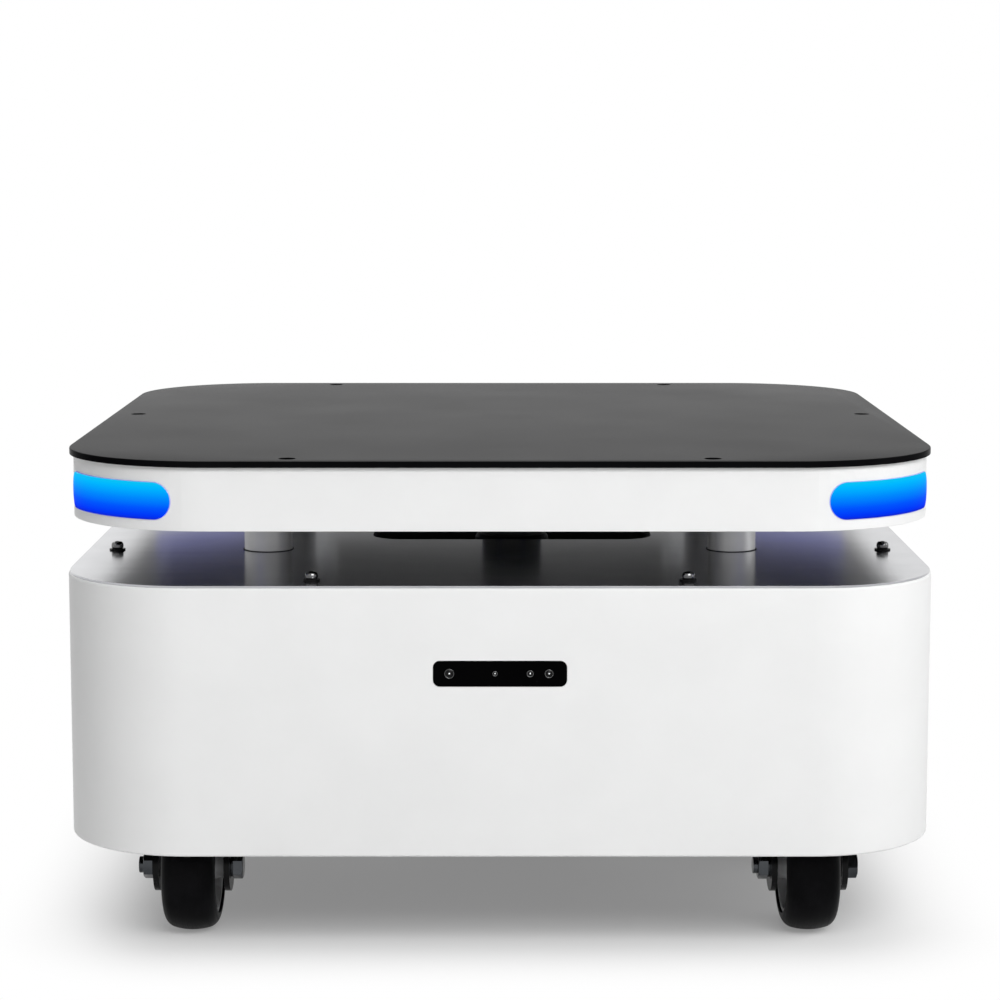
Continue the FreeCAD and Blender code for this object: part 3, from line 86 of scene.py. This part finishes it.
camera_distance = 2.542  # from the casing's front
camera_height = 0.7654
camera_tilt = 7.376
camera_lens = 100.47
sensor_width = 36.0
far_clip = 60.0

casing_low, _ = low_high("casing_shell")
camera_data = bpy.data.cameras.new("camera")
camera_data.sensor_width = sensor_width
camera_data.lens = camera_lens
camera_data.clip_end = far_clip
camera = bpy.data.objects.new("camera", camera_data)
camera.location = (0.0, casing_low[1] - camera_distance, camera_height)
camera.rotation_euler = (math.radians(90.0 - camera_tilt), 0.0, 0.0)
scene.collection.objects.link(camera)
scene.camera = camera

scene.view_settings.view_transform = "Standard"

# ------------------------------------------------------------------ mesh helpers

pole_distance = 1e-7  # points of a grid nearer than this are one
join_distance = 2e-6  # the same for the CAD nodes' loose triangles
flat_angle = 0.3  # in degrees: triangles that differ by less are one face
edge_angle = 32.0  # an edge that turns by more is rounded
edge_segments = 2


def grid_mesh(name, points):
    """A mesh from a grid of points whose last column meets the first: cell (i, j) is the quad
    between rows i, i + 1 and columns j, j + 1. A row that shrinks to one point closes its end, and
    the faces are turned outward."""
    rows, columns = points.shape[:2]
    index = np.arange(rows * columns).reshape(rows, columns)
    index = np.hstack([index, index[:, :1]])
    quads = np.stack([index[:-1, :-1], index[1:, :-1], index[1:, 1:], index[:-1, 1:]], axis=-1)
    mesh = bpy.data.meshes.new(name)
    mesh.from_pydata(points.reshape(-1, 3).tolist(), [], quads.reshape(-1, 4).tolist())
    shape = bmesh.new()
    shape.from_mesh(mesh)
    bmesh.ops.remove_doubles(shape, verts=shape.verts, dist=pole_distance)
    bmesh.ops.recalc_face_normals(shape, faces=shape.faces)
    shape.to_mesh(mesh)
    shape.free()
    return mesh


def merged(name, meshes):
    """One mesh that holds all of these."""
    shape = bmesh.new()
    for mesh in meshes:
        shape.from_mesh(mesh)
    mesh = bpy.data.meshes.new(name)
    shape.to_mesh(mesh)
    shape.free()
    return mesh


def finish_mesh(mesh, sharp=35.0):
    """Smooth shading, but for the edges that turn by more than sharp degrees."""
    mesh.shade_smooth()
    mesh.set_sharp_from_angle(angle=math.radians(sharp))
    return mesh


def place(name, mesh, material, node):
    """Puts a mesh in the scene as a piece that stands in for a CAD node: it rides with the node's
    body, wears the given material, and the node is hidden."""
    piece = bpy.data.objects.new(name, mesh)
    scene.collection.objects.link(piece)
    mesh.materials.append(material)
    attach(piece, nodes[node]["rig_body"])
    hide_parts(node)
    return piece


def softened(node, width):
    """The node's own shape with its doubled vertices joined, its flat triangles merged and its
    edges rounded."""
    shape = bmesh.new()
    shape.from_mesh(nodes[node].data)
    bmesh.ops.remove_doubles(shape, verts=shape.verts, dist=join_distance)
    bmesh.ops.dissolve_limit(shape, angle_limit=math.radians(flat_angle),
                             use_dissolve_boundaries=False, verts=shape.verts, edges=shape.edges)
    mesh = bpy.data.meshes.new(node + "_soft")
    shape.to_mesh(mesh)
    shape.free()
    piece = place(node + "_soft", finish_mesh(mesh, edge_angle), finish_of[node], node)
    bevel = piece.modifiers.new("rounded_edges", "BEVEL")
    bevel.width = width
    bevel.segments = edge_segments
    bevel.limit_method = "ANGLE"
    bevel.angle_limit = math.radians(edge_angle)
    bevel.harden_normals = True
    bevel.use_clamp_overlap = True


def turned_shape(name, profile, centre, segments):
    """A profile of (along, radius) pairs turned about the axis through centre that points forward,
    at -Y: point = centre + (radius * cos t, -along, radius * sin t) for t round the circle."""
    t = np.linspace(0.0, 2.0 * math.pi, segments, endpoint=False)
    along, radius = profile[:, :1], profile[:, 1:]
    points = np.stack([radius * np.cos(t), -along.repeat(segments, 1), radius * np.sin(t)], axis=-1)
    return grid_mesh(name, np.array(centre) + points)


# ------------------------------------------------------------------ shader helpers and groups


def feed(link, socket, value):
    """Links a socket to another, or sets it to a value."""
    if isinstance(value, bpy.types.NodeSocket):
        link(value, socket)
    else:
        socket.default_value = value


def set_inputs(node, values):
    """Sets a node's inputs by their names, written with underscores for spaces."""
    for label, value in values.items():
        node.inputs[label.replace("_", " ")].default_value = value


def add_math(n, link, operation, *inputs, kind="ShaderNodeMath"):
    node = n.new(kind)
    node.operation = operation
    for socket, value in zip(node.inputs, inputs):
        feed(link, socket, value)
    return node


def add_noise(n, link, vector, scale, detail):
    noise = n.new("ShaderNodeTexNoise")
    noise.inputs["Detail"].default_value = detail
    link(vector, noise.inputs["Vector"])
    feed(link, noise.inputs["Scale"], scale)
    return noise.outputs["Fac"]


def object_place(n):
    return n.new("ShaderNodeTexCoord").outputs["Object"]


def new_group(name, inputs, outputs):
    """A shader group with these sockets, and its input and output nodes."""
    group = bpy.data.node_groups.new(name, "ShaderNodeTree")
    for label, kind, value in inputs:
        group.interface.new_socket(label, in_out="INPUT", socket_type=kind).default_value = value
    for label, kind in outputs:
        group.interface.new_socket(label, in_out="OUTPUT", socket_type=kind)
    return group, group.nodes.new("NodeGroupInput"), group.nodes.new("NodeGroupOutput")


def put_out_relief(n, link, source, out, height, distance, pattern):
    """What both skins put out: the height as a bump normal of strength Depth, and
    roughness = Roughness + Spread * (pattern - 0.5)."""
    bump = n.new("ShaderNodeBump")
    bump.inputs["Distance"].default_value = distance
    link(source.outputs["Depth"], bump.inputs["Strength"])
    link(height, bump.inputs["Height"])
    link(bump.outputs["Normal"], out.inputs["Normal"])
    centred = add_math(n, link, "SUBTRACT", pattern, 0.5).outputs[0]
    roughness = add_math(n, link, "MULTIPLY_ADD", centred, source.outputs["Spread"],
                         source.outputs["Roughness"]).outputs[0]
    link(roughness, out.inputs["Roughness"])


def build_surface_grain():
    """The fine waviness of a sprayed or moulded skin: noise of the given size as relief, and much
    larger noise as a small shift of roughness."""
    group, source, out = new_group(
        "surface_grain",
        [("Grain Size", "NodeSocketFloat", 900.0), ("Depth", "NodeSocketFloat", 0.02),
         ("Roughness", "NodeSocketFloat", 0.4), ("Spread", "NodeSocketFloat", 0.05)],
        [("Normal", "NodeSocketVector"), ("Roughness", "NodeSocketFloat")])
    n, link = group.nodes, group.links.new
    where = object_place(n)
    grain = add_noise(n, link, where, source.outputs["Grain Size"], detail=2.0)
    cloud = add_noise(n, link, where, 9.0, detail=4.0)
    put_out_relief(n, link, source, out, grain, 0.0004, cloud)
    return group


def build_machined_lines():
    """Drawn or brushed lines: noise stretched by the Stretch vector, as relief and as roughness."""
    group, source, out = new_group(
        "machined_lines",
        [("Stretch", "NodeSocketVector", (40.0, 900.0, 900.0)), ("Depth", "NodeSocketFloat", 0.05),
         ("Roughness", "NodeSocketFloat", 0.3), ("Spread", "NodeSocketFloat", 0.12)],
        [("Normal", "NodeSocketVector"), ("Roughness", "NodeSocketFloat")])
    n, link = group.nodes, group.links.new
    stretched = add_math(n, link, "MULTIPLY", object_place(n), source.outputs["Stretch"],
                         kind="ShaderNodeVectorMath").outputs["Vector"]
    lines = add_noise(n, link, stretched, 1.0, detail=3.0)
    put_out_relief(n, link, source, out, lines, 0.0003, lines)
    return group


def build_tone_drift():
    """A colour that drifts a little over the surface: a dark and a light tone mixed by noise."""
    group, source, out = new_group(
        "tone_drift",
        [("Dark Tone", "NodeSocketColor", (0.1, 0.1, 0.1, 1.0)),
         ("Light Tone", "NodeSocketColor", (0.12, 0.12, 0.12, 1.0)),
         ("Scale", "NodeSocketFloat", 14.0)],
        [("Color", "NodeSocketColor")])
    n, link = group.nodes, group.links.new
    cloud = add_noise(n, link, object_place(n), source.outputs["Scale"], detail=5.0)
    share = n.new("ShaderNodeMapRange")
    share.inputs["From Min"].default_value = 0.35
    share.inputs["From Max"].default_value = 0.65
    link(cloud, share.inputs["Value"])
    mix = n.new("ShaderNodeMix")
    mix.data_type = "RGBA"
    link(share.outputs["Result"], mix.inputs["Factor"])
    link(source.outputs["Dark Tone"], mix.inputs["A"])
    link(source.outputs["Light Tone"], mix.inputs["B"])
    link(mix.outputs["Result"], out.inputs["Color"])
    return group


surface_grain = build_surface_grain()
machined_lines = build_machined_lines()
tone_drift = build_tone_drift()

# ------------------------------------------------------------------ materials


def rgba(colour):
    return (colour[0], colour[1], colour[2], 1.0)


def new_material(name, **constants):
    """A material whose shader has these inputs set, with its nodes, link call and shader."""
    material = bpy.data.materials.new(name)
    material.use_nodes = True
    shader = material.node_tree.nodes["Principled BSDF"]
    set_inputs(shader, constants)
    return material, material.node_tree.nodes, material.node_tree.links.new, shader


def add_group(n, group, **values):
    node = n.new("ShaderNodeGroup")
    node.node_tree = group
    set_inputs(node, values)
    return node


def skinned(name, dark, light, tone_scale, skin, skin_values, constants):
    """A material with a drifting tone and one of the two skins."""
    material, n, link, shader = new_material(name, **constants)
    tone = add_group(n, tone_drift, Dark_Tone=rgba(dark), Light_Tone=rgba(light), Scale=tone_scale)
    link(tone.outputs["Color"], shader.inputs["Base Color"])
    relief = add_group(n, skin, **skin_values)
    link(relief.outputs["Normal"], shader.inputs["Normal"])
    link(relief.outputs["Roughness"], shader.inputs["Roughness"])
    return material


def coated(name, dark, light, roughness, spread=0.05, grain=900.0, depth=0.03, tone_scale=14.0,
           **constants):
    """A sprayed or moulded finish."""
    values = {"Grain_Size": grain, "Depth": depth, "Roughness": roughness, "Spread": spread}
    return skinned(name, dark, light, tone_scale, surface_grain, values, constants)


def lined(name, dark, light, roughness, stretch, depth, spread, tone_scale, **constants):
    """A finish with fine lines along the axis in which stretch is smallest."""
    values = {"Stretch": stretch, "Depth": depth, "Roughness": roughness, "Spread": spread}
    return skinned(name, dark, light, tone_scale, machined_lines, values, constants)


def metal(name, dark, light, roughness, stretch, depth=0.05, spread=0.12):
    """A drawn, plated or machined metal."""
    return lined(name, dark, light, roughness, stretch, depth, spread, 22.0, Metallic=1.0)


glow_stops = ((0.0, (0.004, 0.018, 0.60)), (0.10, (0.0, 0.034, 0.95)), (0.31, (0.0, 0.090, 0.98)),
              (0.56, (0.0, 0.245, 0.98)), (0.86, (0.0, 0.480, 0.99)), (1.0, (0.004, 0.56, 0.90)))
glow_margin = 0.004  # the glow's ends lie this far inside the strips


def lit_diffuser(name, low, high):
    """Lit plastic whose glow runs from deep blue at its foot to cyan at its top:
    colour = ramp of the height between low and high."""
    material, n, link, shader = new_material(name, Roughness=0.45, IOR=1.02, Emission_Strength=1.0,
                                             Base_Color=(0.0, 0.002, 0.006, 1.0))
    split = n.new("ShaderNodeSeparateXYZ")
    link(object_place(n), split.inputs["Vector"])
    height = n.new("ShaderNodeMapRange")
    height.inputs["From Min"].default_value = low
    height.inputs["From Max"].default_value = high
    link(split.outputs["Z"], height.inputs["Value"])
    ramp = n.new("ShaderNodeValToRGB")
    stops = ramp.color_ramp.elements
    stops[0].color = rgba(glow_stops[0][1])
    stops[1].color = rgba(glow_stops[-1][1])
    for position, colour in glow_stops[1:-1]:
        stops.new(position).color = rgba(colour)
    link(height.outputs["Result"], ramp.inputs["Fac"])
    link(ramp.outputs["Color"], shader.inputs["Emission Color"])
    return material


powder_white = coated("powder_white", (0.845, 0.848, 0.846), (0.865, 0.868, 0.866), 0.42,
                      grain=1400.0, IOR=1.25)
deck_black = coated("deck_black", (0.0028, 0.0028, 0.0032), (0.0045, 0.0045, 0.0051), 0.22,
                    grain=1600.0, depth=0.04, IOR=1.03)
top_plate_gloss = metal("top_plate_gloss", (0.45, 0.455, 0.475), (0.50, 0.505, 0.525), 0.17,
                        (6.0, 60.0, 60.0), depth=0.01, spread=0.04)
frame_black = coated("frame_black", (0.016, 0.016, 0.018), (0.026, 0.026, 0.028), 0.42,
                     grain=700.0, depth=0.05)
fork_black = coated("fork_black", (0.004, 0.0042, 0.0045), (0.008, 0.0084, 0.009), 0.24,
                    grain=500.0, depth=0.06, IOR=1.2)
post_satin = metal("post_satin", (0.46, 0.46, 0.465), (0.54, 0.54, 0.545), 0.40,
                   (700.0, 700.0, 40.0), depth=0.03)
zinc_plate = metal("zinc_plate", (0.50, 0.52, 0.54), (0.64, 0.66, 0.68), 0.26,
                   (260.0, 260.0, 260.0), depth=0.06)
dark_steel = metal("dark_steel", (0.040, 0.043, 0.047), (0.075, 0.080, 0.086), 0.16,
                   (260.0, 260.0, 260.0), depth=0.08)
black_oxide = metal("black_oxide", (0.120, 0.120, 0.121), (0.170, 0.170, 0.172), 0.09,
                    (300.0, 300.0, 300.0), depth=0.02, spread=0.03)
# Near-black washers under the top plate's screws: their tone is partly painted shade, the thin dark
# shadow line under each screw head.
washer_dark_and_shade = coated("washer_dark_and_shade", (0.004, 0.004, 0.0042), (0.007, 0.007, 0.0074), 0.30,
                     grain=1200.0, depth=0.04, IOR=1.18)
black_plastic = coated("black_plastic", (0.012, 0.012, 0.013), (0.018, 0.018, 0.019), 0.5,
                       grain=1800.0, depth=0.12)
scanner_dark = coated("scanner_dark", (0.004, 0.004, 0.006), (0.006, 0.006, 0.009), 0.12,
                      spread=0.02, depth=0.004)
camera_black = coated("camera_black", (0.0006, 0.0006, 0.0007), (0.0010, 0.0010, 0.0012), 0.14,
                      spread=0.02, depth=0.004, IOR=1.06)
lens_coat = coated("lens_coat", (0.0010, 0.0011, 0.0014), (0.0016, 0.0018, 0.0024), 0.06,
                   spread=0.02, depth=0.004, IOR=1.28)
lens_pupil = metal("lens_pupil", (0.60, 0.61, 0.62), (0.72, 0.73, 0.74), 0.16,
                   (500.0, 500.0, 500.0), depth=0.01, spread=0.03)
lens_ring_grey = metal("lens_ring_grey", (0.13, 0.132, 0.132), (0.22, 0.222, 0.222), 0.26,
                       (500.0, 500.0, 500.0))
# The tyres' near-black tone is partly painted shade: they are darker than black rubber, as the
# shade under the robot makes them.
# The lines run round the wheels, whose axles lie along X.
tyre_rubber = lined("tyre_rubber", (0.0018, 0.0018, 0.0023), (0.0042, 0.0042, 0.0050), 0.40,
                    (900.0, 9.0, 9.0), depth=0.35, spread=0.30, tone_scale=40.0, IOR=1.12)
drive_tread = coated("drive_tread", (0.05, 0.05, 0.053), (0.075, 0.075, 0.078), 0.62,
                     spread=0.15, grain=300.0, depth=0.15, tone_scale=30.0)
wheel_grey = coated("wheel_grey", (0.42, 0.425, 0.43), (0.50, 0.505, 0.51), 0.40,
                    grain=600.0, depth=0.08)
hub_metal = metal("hub_metal", (0.60, 0.60, 0.61), (0.70, 0.70, 0.71), 0.34,
                  (40.0, 500.0, 500.0), depth=0.06)
# Black rubber grommets round the posts' feet: their black ring is partly painted shade, the contact
# shadow where each post meets the top plate.
grommet_black_and_shadow = coated("grommet_black_and_shadow", (0.010, 0.010, 0.010), (0.016, 0.016, 0.016), 0.7,
                       depth=0.1)
battery_grey = coated("battery_grey", (0.06, 0.065, 0.07), (0.085, 0.09, 0.095), 0.55,
                      grain=1500.0, depth=0.12)
signal_red = coated("signal_red", (0.52, 0.008, 0.008), (0.60, 0.012, 0.012), 0.28, depth=0.01)
signal_yellow = coated("signal_yellow", (0.80, 0.47, 0.01), (0.86, 0.52, 0.015), 0.35, depth=0.02)
heat_sink = metal("heat_sink", (0.34, 0.345, 0.35), (0.42, 0.425, 0.43), 0.42,
                  (500.0, 60.0, 500.0), depth=0.08)
frame_pale = coated("frame_pale", (0.50, 0.50, 0.51), (0.56, 0.56, 0.57), 0.45,
                    grain=800.0, depth=0.05)
# Bluish plastic for the strips' inner faces, with a faint blue glow that stands in for LED light
# leaking out of the strips; it lights the top plate blue.
strip_back = coated("strip_back", (0.40, 0.42, 0.50), (0.44, 0.46, 0.54), 0.5,
                    Emission_Color=(0.03, 0.06, 1.0, 1.0), Emission_Strength=0.36)
strip_low, strip_high = low_high("light_strips")
strip_glow = lit_diffuser("strip_glow", strip_low[2] + glow_margin, strip_high[2] - glow_margin)

finish_of = {
    "casing_shell": powder_white, "deck_skirt": powder_white, "deck_plate": deck_black,
    "base_top_plate": top_plate_gloss, "chassis_plate": frame_black, "chassis_frame": frame_black,
    "casing_brackets": zinc_plate, "top_plate_screws": black_oxide,
    "top_plate_washers": washer_dark_and_shade, "lidar_well": black_plastic, "lidar_body": black_plastic,
    "lidar_window": scanner_dark, "lidar_cap": black_plastic, "lidar_rotor": black_plastic,
    "deck_posts": post_satin, "post_grommets": grommet_black_and_shadow, "deck_frame": frame_pale,
    "light_strips": strip_glow, "depth_camera_body": heat_sink,
    "depth_camera_glass": camera_black, "depth_camera_lenses": lens_coat,
    "service_panel": frame_black, "emergency_stop_collar": signal_yellow,
    "emergency_stop_button": signal_red, "power_button_bezel": zinc_plate,
    "power_button": zinc_plate, "charging_socket": black_plastic, "frame_bolts": zinc_plate,
    "battery_pack": battery_grey, "control_unit": heat_sink, "motor_drivers": heat_sink,
    "caster_mounts": zinc_plate, "drive_brackets": frame_black, "drive_pivot_pins": zinc_plate,
}
for corner in caster_corners:
    finish_of["caster_fork_" + corner] = fork_black
    finish_of["caster_rim_" + corner] = wheel_grey
    finish_of["caster_tyre_" + corner] = tyre_rubber
    finish_of["caster_axle_" + corner] = dark_steel
for side in drive_sides:
    finish_of["drive_arm_" + side] = frame_black
    finish_of["gearmotor_" + side] = heat_sink
    finish_of["drive_hub_" + side] = hub_metal
    finish_of["drive_tyre_" + side] = drive_tread
    finish_of["drive_spring_" + side] = zinc_plate

for name, node in nodes.items():
    node.data.materials.clear()
    node.data.materials.append(finish_of[name])

# ------------------------------------------------------------------ pieces with worked edges

edge_widths = {
    "casing_shell": 0.0009, "base_top_plate": 0.0006, "deck_plate": 0.0012, "deck_skirt": 0.0007,
    "light_strips": 0.0012, "depth_camera_body": 0.0005, "depth_camera_glass": 0.0006,
    "chassis_plate": 0.0006, "chassis_frame": 0.0012, "caster_mounts": 0.0006,
    "casing_brackets": 0.0004, "service_panel": 0.0004, "emergency_stop_collar": 0.0010,
    "emergency_stop_button": 0.0005, "power_button_bezel": 0.0005, "power_button": 0.0005,
    "charging_socket": 0.0006, "top_plate_screws": 0.0003, "top_plate_washers": 0.0002,
    "frame_bolts": 0.0003, "lidar_well": 0.0006, "lidar_body": 0.0008, "lidar_cap": 0.0012,
    "deck_posts": 0.0005, "post_grommets": 0.0003, "deck_frame": 0.0010, "battery_pack": 0.0020,
    "control_unit": 0.0010, "motor_drivers": 0.0010, "drive_brackets": 0.0008,
    "drive_pivot_pins": 0.0004,
}
for corner in caster_corners:
    edge_widths["caster_fork_" + corner] = 0.0008
    edge_widths["caster_rim_" + corner] = 0.0006
    edge_widths["caster_tyre_" + corner] = 0.0006
    edge_widths["caster_axle_" + corner] = 0.0004
for side in drive_sides:
    edge_widths["drive_arm_" + side] = 0.0010
    edge_widths["gearmotor_" + side] = 0.0008
    edge_widths["drive_hub_" + side] = 0.0008
    edge_widths["drive_tyre_" + side] = 0.0010

for name, width in edge_widths.items():
    softened(name, width)

outward_least = 0.05


def dim_backs():
    """Only the outer faces of the light strips carry the lit gradient; the ones that look at the
    deck's middle are bluish plastic with a faint blue glow, which stands in for LED light leaking
    out of the strips onto the top plate. A face looks outward where the product of its normal and
    its centre, both seen from above, is more than outward_least."""
    mesh = bpy.data.objects["light_strips_soft"].data
    mesh.materials.append(strip_back)
    count = len(mesh.polygons)
    normals = np.empty(count * 3)
    centres = np.empty(count * 3)
    mesh.polygons.foreach_get("normal", normals)
    mesh.polygons.foreach_get("center", centres)
    outward = (normals.reshape(-1, 3)[:, :2] * centres.reshape(-1, 3)[:, :2]).sum(axis=1)
    mesh.polygons.foreach_set("material_index", (outward < outward_least).astype(np.int32))
    mesh.update()


dim_backs()

# ------------------------------------------------------------------ depth camera lenses

# Each lens: its place to the right of the window's middle, and its radius.
lens_places = ((-0.0470, 0.0045), (-0.0046, 0.0024), (0.0280, 0.0032), (0.0455, 0.0040))
lens_pocket = 0.0016
lens_set_back = 0.0001
lens_ring_wall = 0.00055
ring_foot_height = 0.0004
ring_foot_step = 0.0001
lens_segments = 64
dome_edge_height = 0.0003
dome_rise = 0.26
pupil_radius = 0.0008
pupil_rise = 0.5
pupil_sink = 0.0001
pupil_segments = 32


def build_lenses():
    """Each lens is a ring, a domed glass and a pupil. The ring's section is a thin bar with a
    rounded lip. With r from 1 at the edge to 0 in the middle, the dome stands
    dome_rise * radius * (1 - r^2) proud of its edge, and the pupil is a small dome on top of it."""
    glass_low, glass_high = low_high("depth_camera_glass")
    middle = 0.5 * (glass_low + glass_high)
    foot = -lens_pocket
    lip_radius = 0.5 * lens_ring_wall
    turn = np.linspace(0.0, math.pi, 7)
    r = np.linspace(1.0, 0.0, 9)
    rings, domes, pupils = [], [], []
    for offset, radius in lens_places:
        centre = (middle[0] + offset, glass_low[1], middle[2])
        inner = radius - lens_ring_wall
        lip = np.stack([-lens_set_back - lip_radius + lip_radius * np.sin(turn),
                        radius - lip_radius + lip_radius * np.cos(turn)], axis=1)
        ring = np.vstack([(foot, radius), lip, (foot + ring_foot_height, inner),
                          (foot, inner - ring_foot_step), (foot, radius)])
        rings.append(turned_shape("ring", ring, centre, lens_segments))
        rise = dome_rise * inner
        bulge = np.stack([foot + dome_edge_height + rise * (1.0 - r * r), inner * r], axis=1)
        dome = np.vstack([(foot, 0.0), (foot, inner), bulge])
        domes.append(turned_shape("dome", dome, centre, lens_segments))
        top = foot + dome_edge_height + rise - pupil_sink
        bulge = np.stack([top + pupil_rise * pupil_radius * (1.0 - r * r), pupil_radius * r],
                         axis=1)
        pupil = np.vstack([(top, 0.0), bulge])
        pupils.append(turned_shape("pupil", pupil, centre, pupil_segments))
    for name, meshes, material in (("lens_rings", rings, lens_ring_grey),
                                   ("lens_domes", domes, lens_coat),
                                   ("lens_pupils", pupils, lens_pupil)):
        place(name, finish_mesh(merged(name, meshes)), material, "depth_camera_lenses")


build_lenses()

# ------------------------------------------------------------------ suspension springs

spring_wire = 0.0050
spring_turns = 6.0
spring_steps = 40  # to a turn
end_turn_share = 0.14
end_turn_rise = 0.9  # in wires
wire_sides = 12
wire_sharp = 50.0


def spring_mesh(name, low, high):
    """Round wire on a helix. With t from 0 at the foot to 1 at the head, the wire's middle is at
    angle 2 pi * turns * t. Its height climbs evenly between the end turns, and in each end turn
    only by end_turn_rise wires. A circle square to the path is swept along it."""
    middle = 0.5 * (low + high)
    wire = 0.5 * spring_wire
    coil = 0.5 * (high[0] - low[0]) - wire
    t = np.linspace(0.0, 1.0, int(spring_turns * spring_steps) + 1)
    inner = np.clip((t - end_turn_share) / (1.0 - 2.0 * end_turn_share), 0.0, 1.0)
    ends = (np.clip(t / end_turn_share, 0.0, 1.0)
            + np.clip((t - 1.0) / end_turn_share + 1.0, 0.0, 1.0))
    flat_rise = end_turn_rise * spring_wire
    climb = high[2] - low[2] - 2.0 * wire - 2.0 * flat_rise
    height = low[2] + wire + flat_rise * ends + climb * inner
    angle = 2.0 * math.pi * spring_turns * t
    path = np.stack([middle[0] + coil * np.cos(angle), middle[1] + coil * np.sin(angle), height], 1)
    along = np.gradient(path, axis=0)
    along /= np.linalg.norm(along, axis=1)[:, None]
    outward = np.stack([np.cos(angle), np.sin(angle), np.zeros_like(angle)], 1)
    upward = np.cross(along, outward)
    turn = np.linspace(0.0, 2.0 * math.pi, wire_sides, endpoint=False)
    ring = (np.cos(turn)[None, :, None] * outward[:, None, :]
            + np.sin(turn)[None, :, None] * upward[:, None, :])
    points = path[:, None, :] + wire * ring
    foot = path[:1, None, :].repeat(wire_sides, 1)
    head = path[-1:, None, :].repeat(wire_sides, 1)
    return grid_mesh(name, np.concatenate([foot, points, head]))


def build_springs():
    """Each spring is a coil built in the CAD spring's box at rest, which it stands in for; it stays
    fixed where it is built.
    """
    for side in drive_sides:
        node = "drive_spring_" + side
        low, high = low_high(node)
        mesh = finish_mesh(spring_mesh(node, low, high), wire_sharp)
        mesh.materials.append(zinc_plate)
        spring = bpy.data.objects.new(node + "_coil", mesh)
        scene.collection.objects.link(spring)
        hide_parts(node)
        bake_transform(spring)


build_springs()

# ------------------------------------------------------------------ stage: floor, world, lamps

white = (1.0, 1.0, 1.0, 1.0)
shown_strength = 1.0
floor_half = 14.0
floor_colour = (0.86, 0.86, 0.86, 1.0)
fade_start = 0.30
fade_width = 0.21
floor_lift = 0.23
world_strength = 0.18
lamp_target = Vector((0.0, 0.0, 0.25))
# Each lamp: name, azimuth and elevation in degrees, distance, width and height, watts.
softboxes = (
    ("front_softbox", 18.0, 36.0, 4.2, (2.6, 1.8), 105.0),
    ("right_softbox", 86.0, 24.0, 4.2, (2.4, 1.8), 34.0),
    ("top_softbox", 20.0, 78.0, 3.6, (2.4, 2.4), 18.0),
    ("rear_softbox", 200.0, 40.0, 4.2, (2.6, 1.8), 84.0),
)


def shown_rays(n, link):
    """1 for the rays that show a background: from the camera, a mirror or glass."""
    path = n.new("ShaderNodeLightPath").outputs
    seen = add_math(n, link, "MAXIMUM", path["Is Camera Ray"], path["Is Glossy Ray"]).outputs[0]
    return add_math(n, link, "MAXIMUM", seen, path["Is Transmission Ray"]).outputs[0]


def build_floor():
    """A wide pale floor that keeps the object's shadow and fades to the white of the backdrop away
    from it: the white's share runs from floor_lift to 1 on a smooth step, over fade_width, of the
    distance outside the square whose half side is fade_start."""
    mesh = bpy.data.meshes.new("floor")
    mesh.from_pydata([(-floor_half, -floor_half, 0.0), (floor_half, -floor_half, 0.0),
                      (floor_half, floor_half, 0.0), (-floor_half, floor_half, 0.0)], [],
                     [(0, 1, 2, 3)])
    floor = bpy.data.objects.new("floor", mesh)
    scene.collection.objects.link(floor)
    material, n, link, shader = new_material("floor_pale", Roughness=0.9, Base_Color=floor_colour,
                                             Specular_IOR_Level=0.0)
    vector = "ShaderNodeVectorMath"
    flat = add_math(n, link, "ABSOLUTE", object_place(n), kind=vector).outputs["Vector"]
    outside = add_math(n, link, "SUBTRACT", flat, (fade_start, fade_start, 0.0),
                       kind=vector).outputs["Vector"]
    beyond = add_math(n, link, "MAXIMUM", outside, kind=vector).outputs["Vector"]
    distance = add_math(n, link, "LENGTH", beyond, kind=vector).outputs["Value"]
    fade = n.new("ShaderNodeMapRange")
    fade.interpolation_type = "SMOOTHSTEP"
    fade.inputs["From Max"].default_value = fade_width
    fade.inputs["To Min"].default_value = floor_lift
    link(distance, fade.inputs["Value"])
    share = add_math(n, link, "MULTIPLY", fade.outputs["Result"], shown_rays(n, link)).outputs[0]
    backdrop = n.new("ShaderNodeEmission")
    backdrop.inputs["Color"].default_value = white
    backdrop.inputs["Strength"].default_value = shown_strength
    mix = n.new("ShaderNodeMixShader")
    link(share, mix.inputs["Fac"])
    link(shader.outputs["BSDF"], mix.inputs[1])
    link(backdrop.outputs["Emission"], mix.inputs[2])
    link(mix.outputs["Shader"], n["Material Output"].inputs["Surface"])
    mesh.materials.append(material)


def build_world():
    """A white world that lights the object faintly and shows at full strength."""
    world = bpy.data.worlds.new("studio")
    scene.world = world
    world.use_nodes = True
    n, link = world.node_tree.nodes, world.node_tree.links.new
    shown = n.new("ShaderNodeBackground")
    shown.inputs["Color"].default_value = white
    shown.inputs["Strength"].default_value = shown_strength
    lit = n["Background"]
    lit.inputs["Color"].default_value = white
    lit.inputs["Strength"].default_value = world_strength
    mix = n.new("ShaderNodeMixShader")
    link(shown_rays(n, link), mix.inputs["Fac"])
    link(lit.outputs[0], mix.inputs[1])
    link(shown.outputs[0], mix.inputs[2])
    link(mix.outputs[0], n["World Output"].inputs["Surface"])


def add_softbox(name, azimuth, elevation, distance, size, power):
    """An area lamp that looks at the object's middle from the given angles. Azimuth 0 is in front,
    at -Y, and 90 is to the right, at +X."""
    turn, rise = math.radians(azimuth), math.radians(elevation)
    away = Vector((math.sin(turn) * math.cos(rise), -math.cos(turn) * math.cos(rise),
                   math.sin(rise)))
    data = bpy.data.lights.new(name, "AREA")
    data.shape = "RECTANGLE"
    data.size, data.size_y = size
    data.energy = power
    lamp = bpy.data.objects.new(name, data)
    lamp.location = lamp_target + away * distance
    lamp.rotation_mode = "QUATERNION"
    lamp.rotation_quaternion = (-away).to_track_quat("-Z", "Y")
    scene.collection.objects.link(lamp)


build_floor()
build_world()
for softbox in softboxes:
    add_softbox(*softbox)
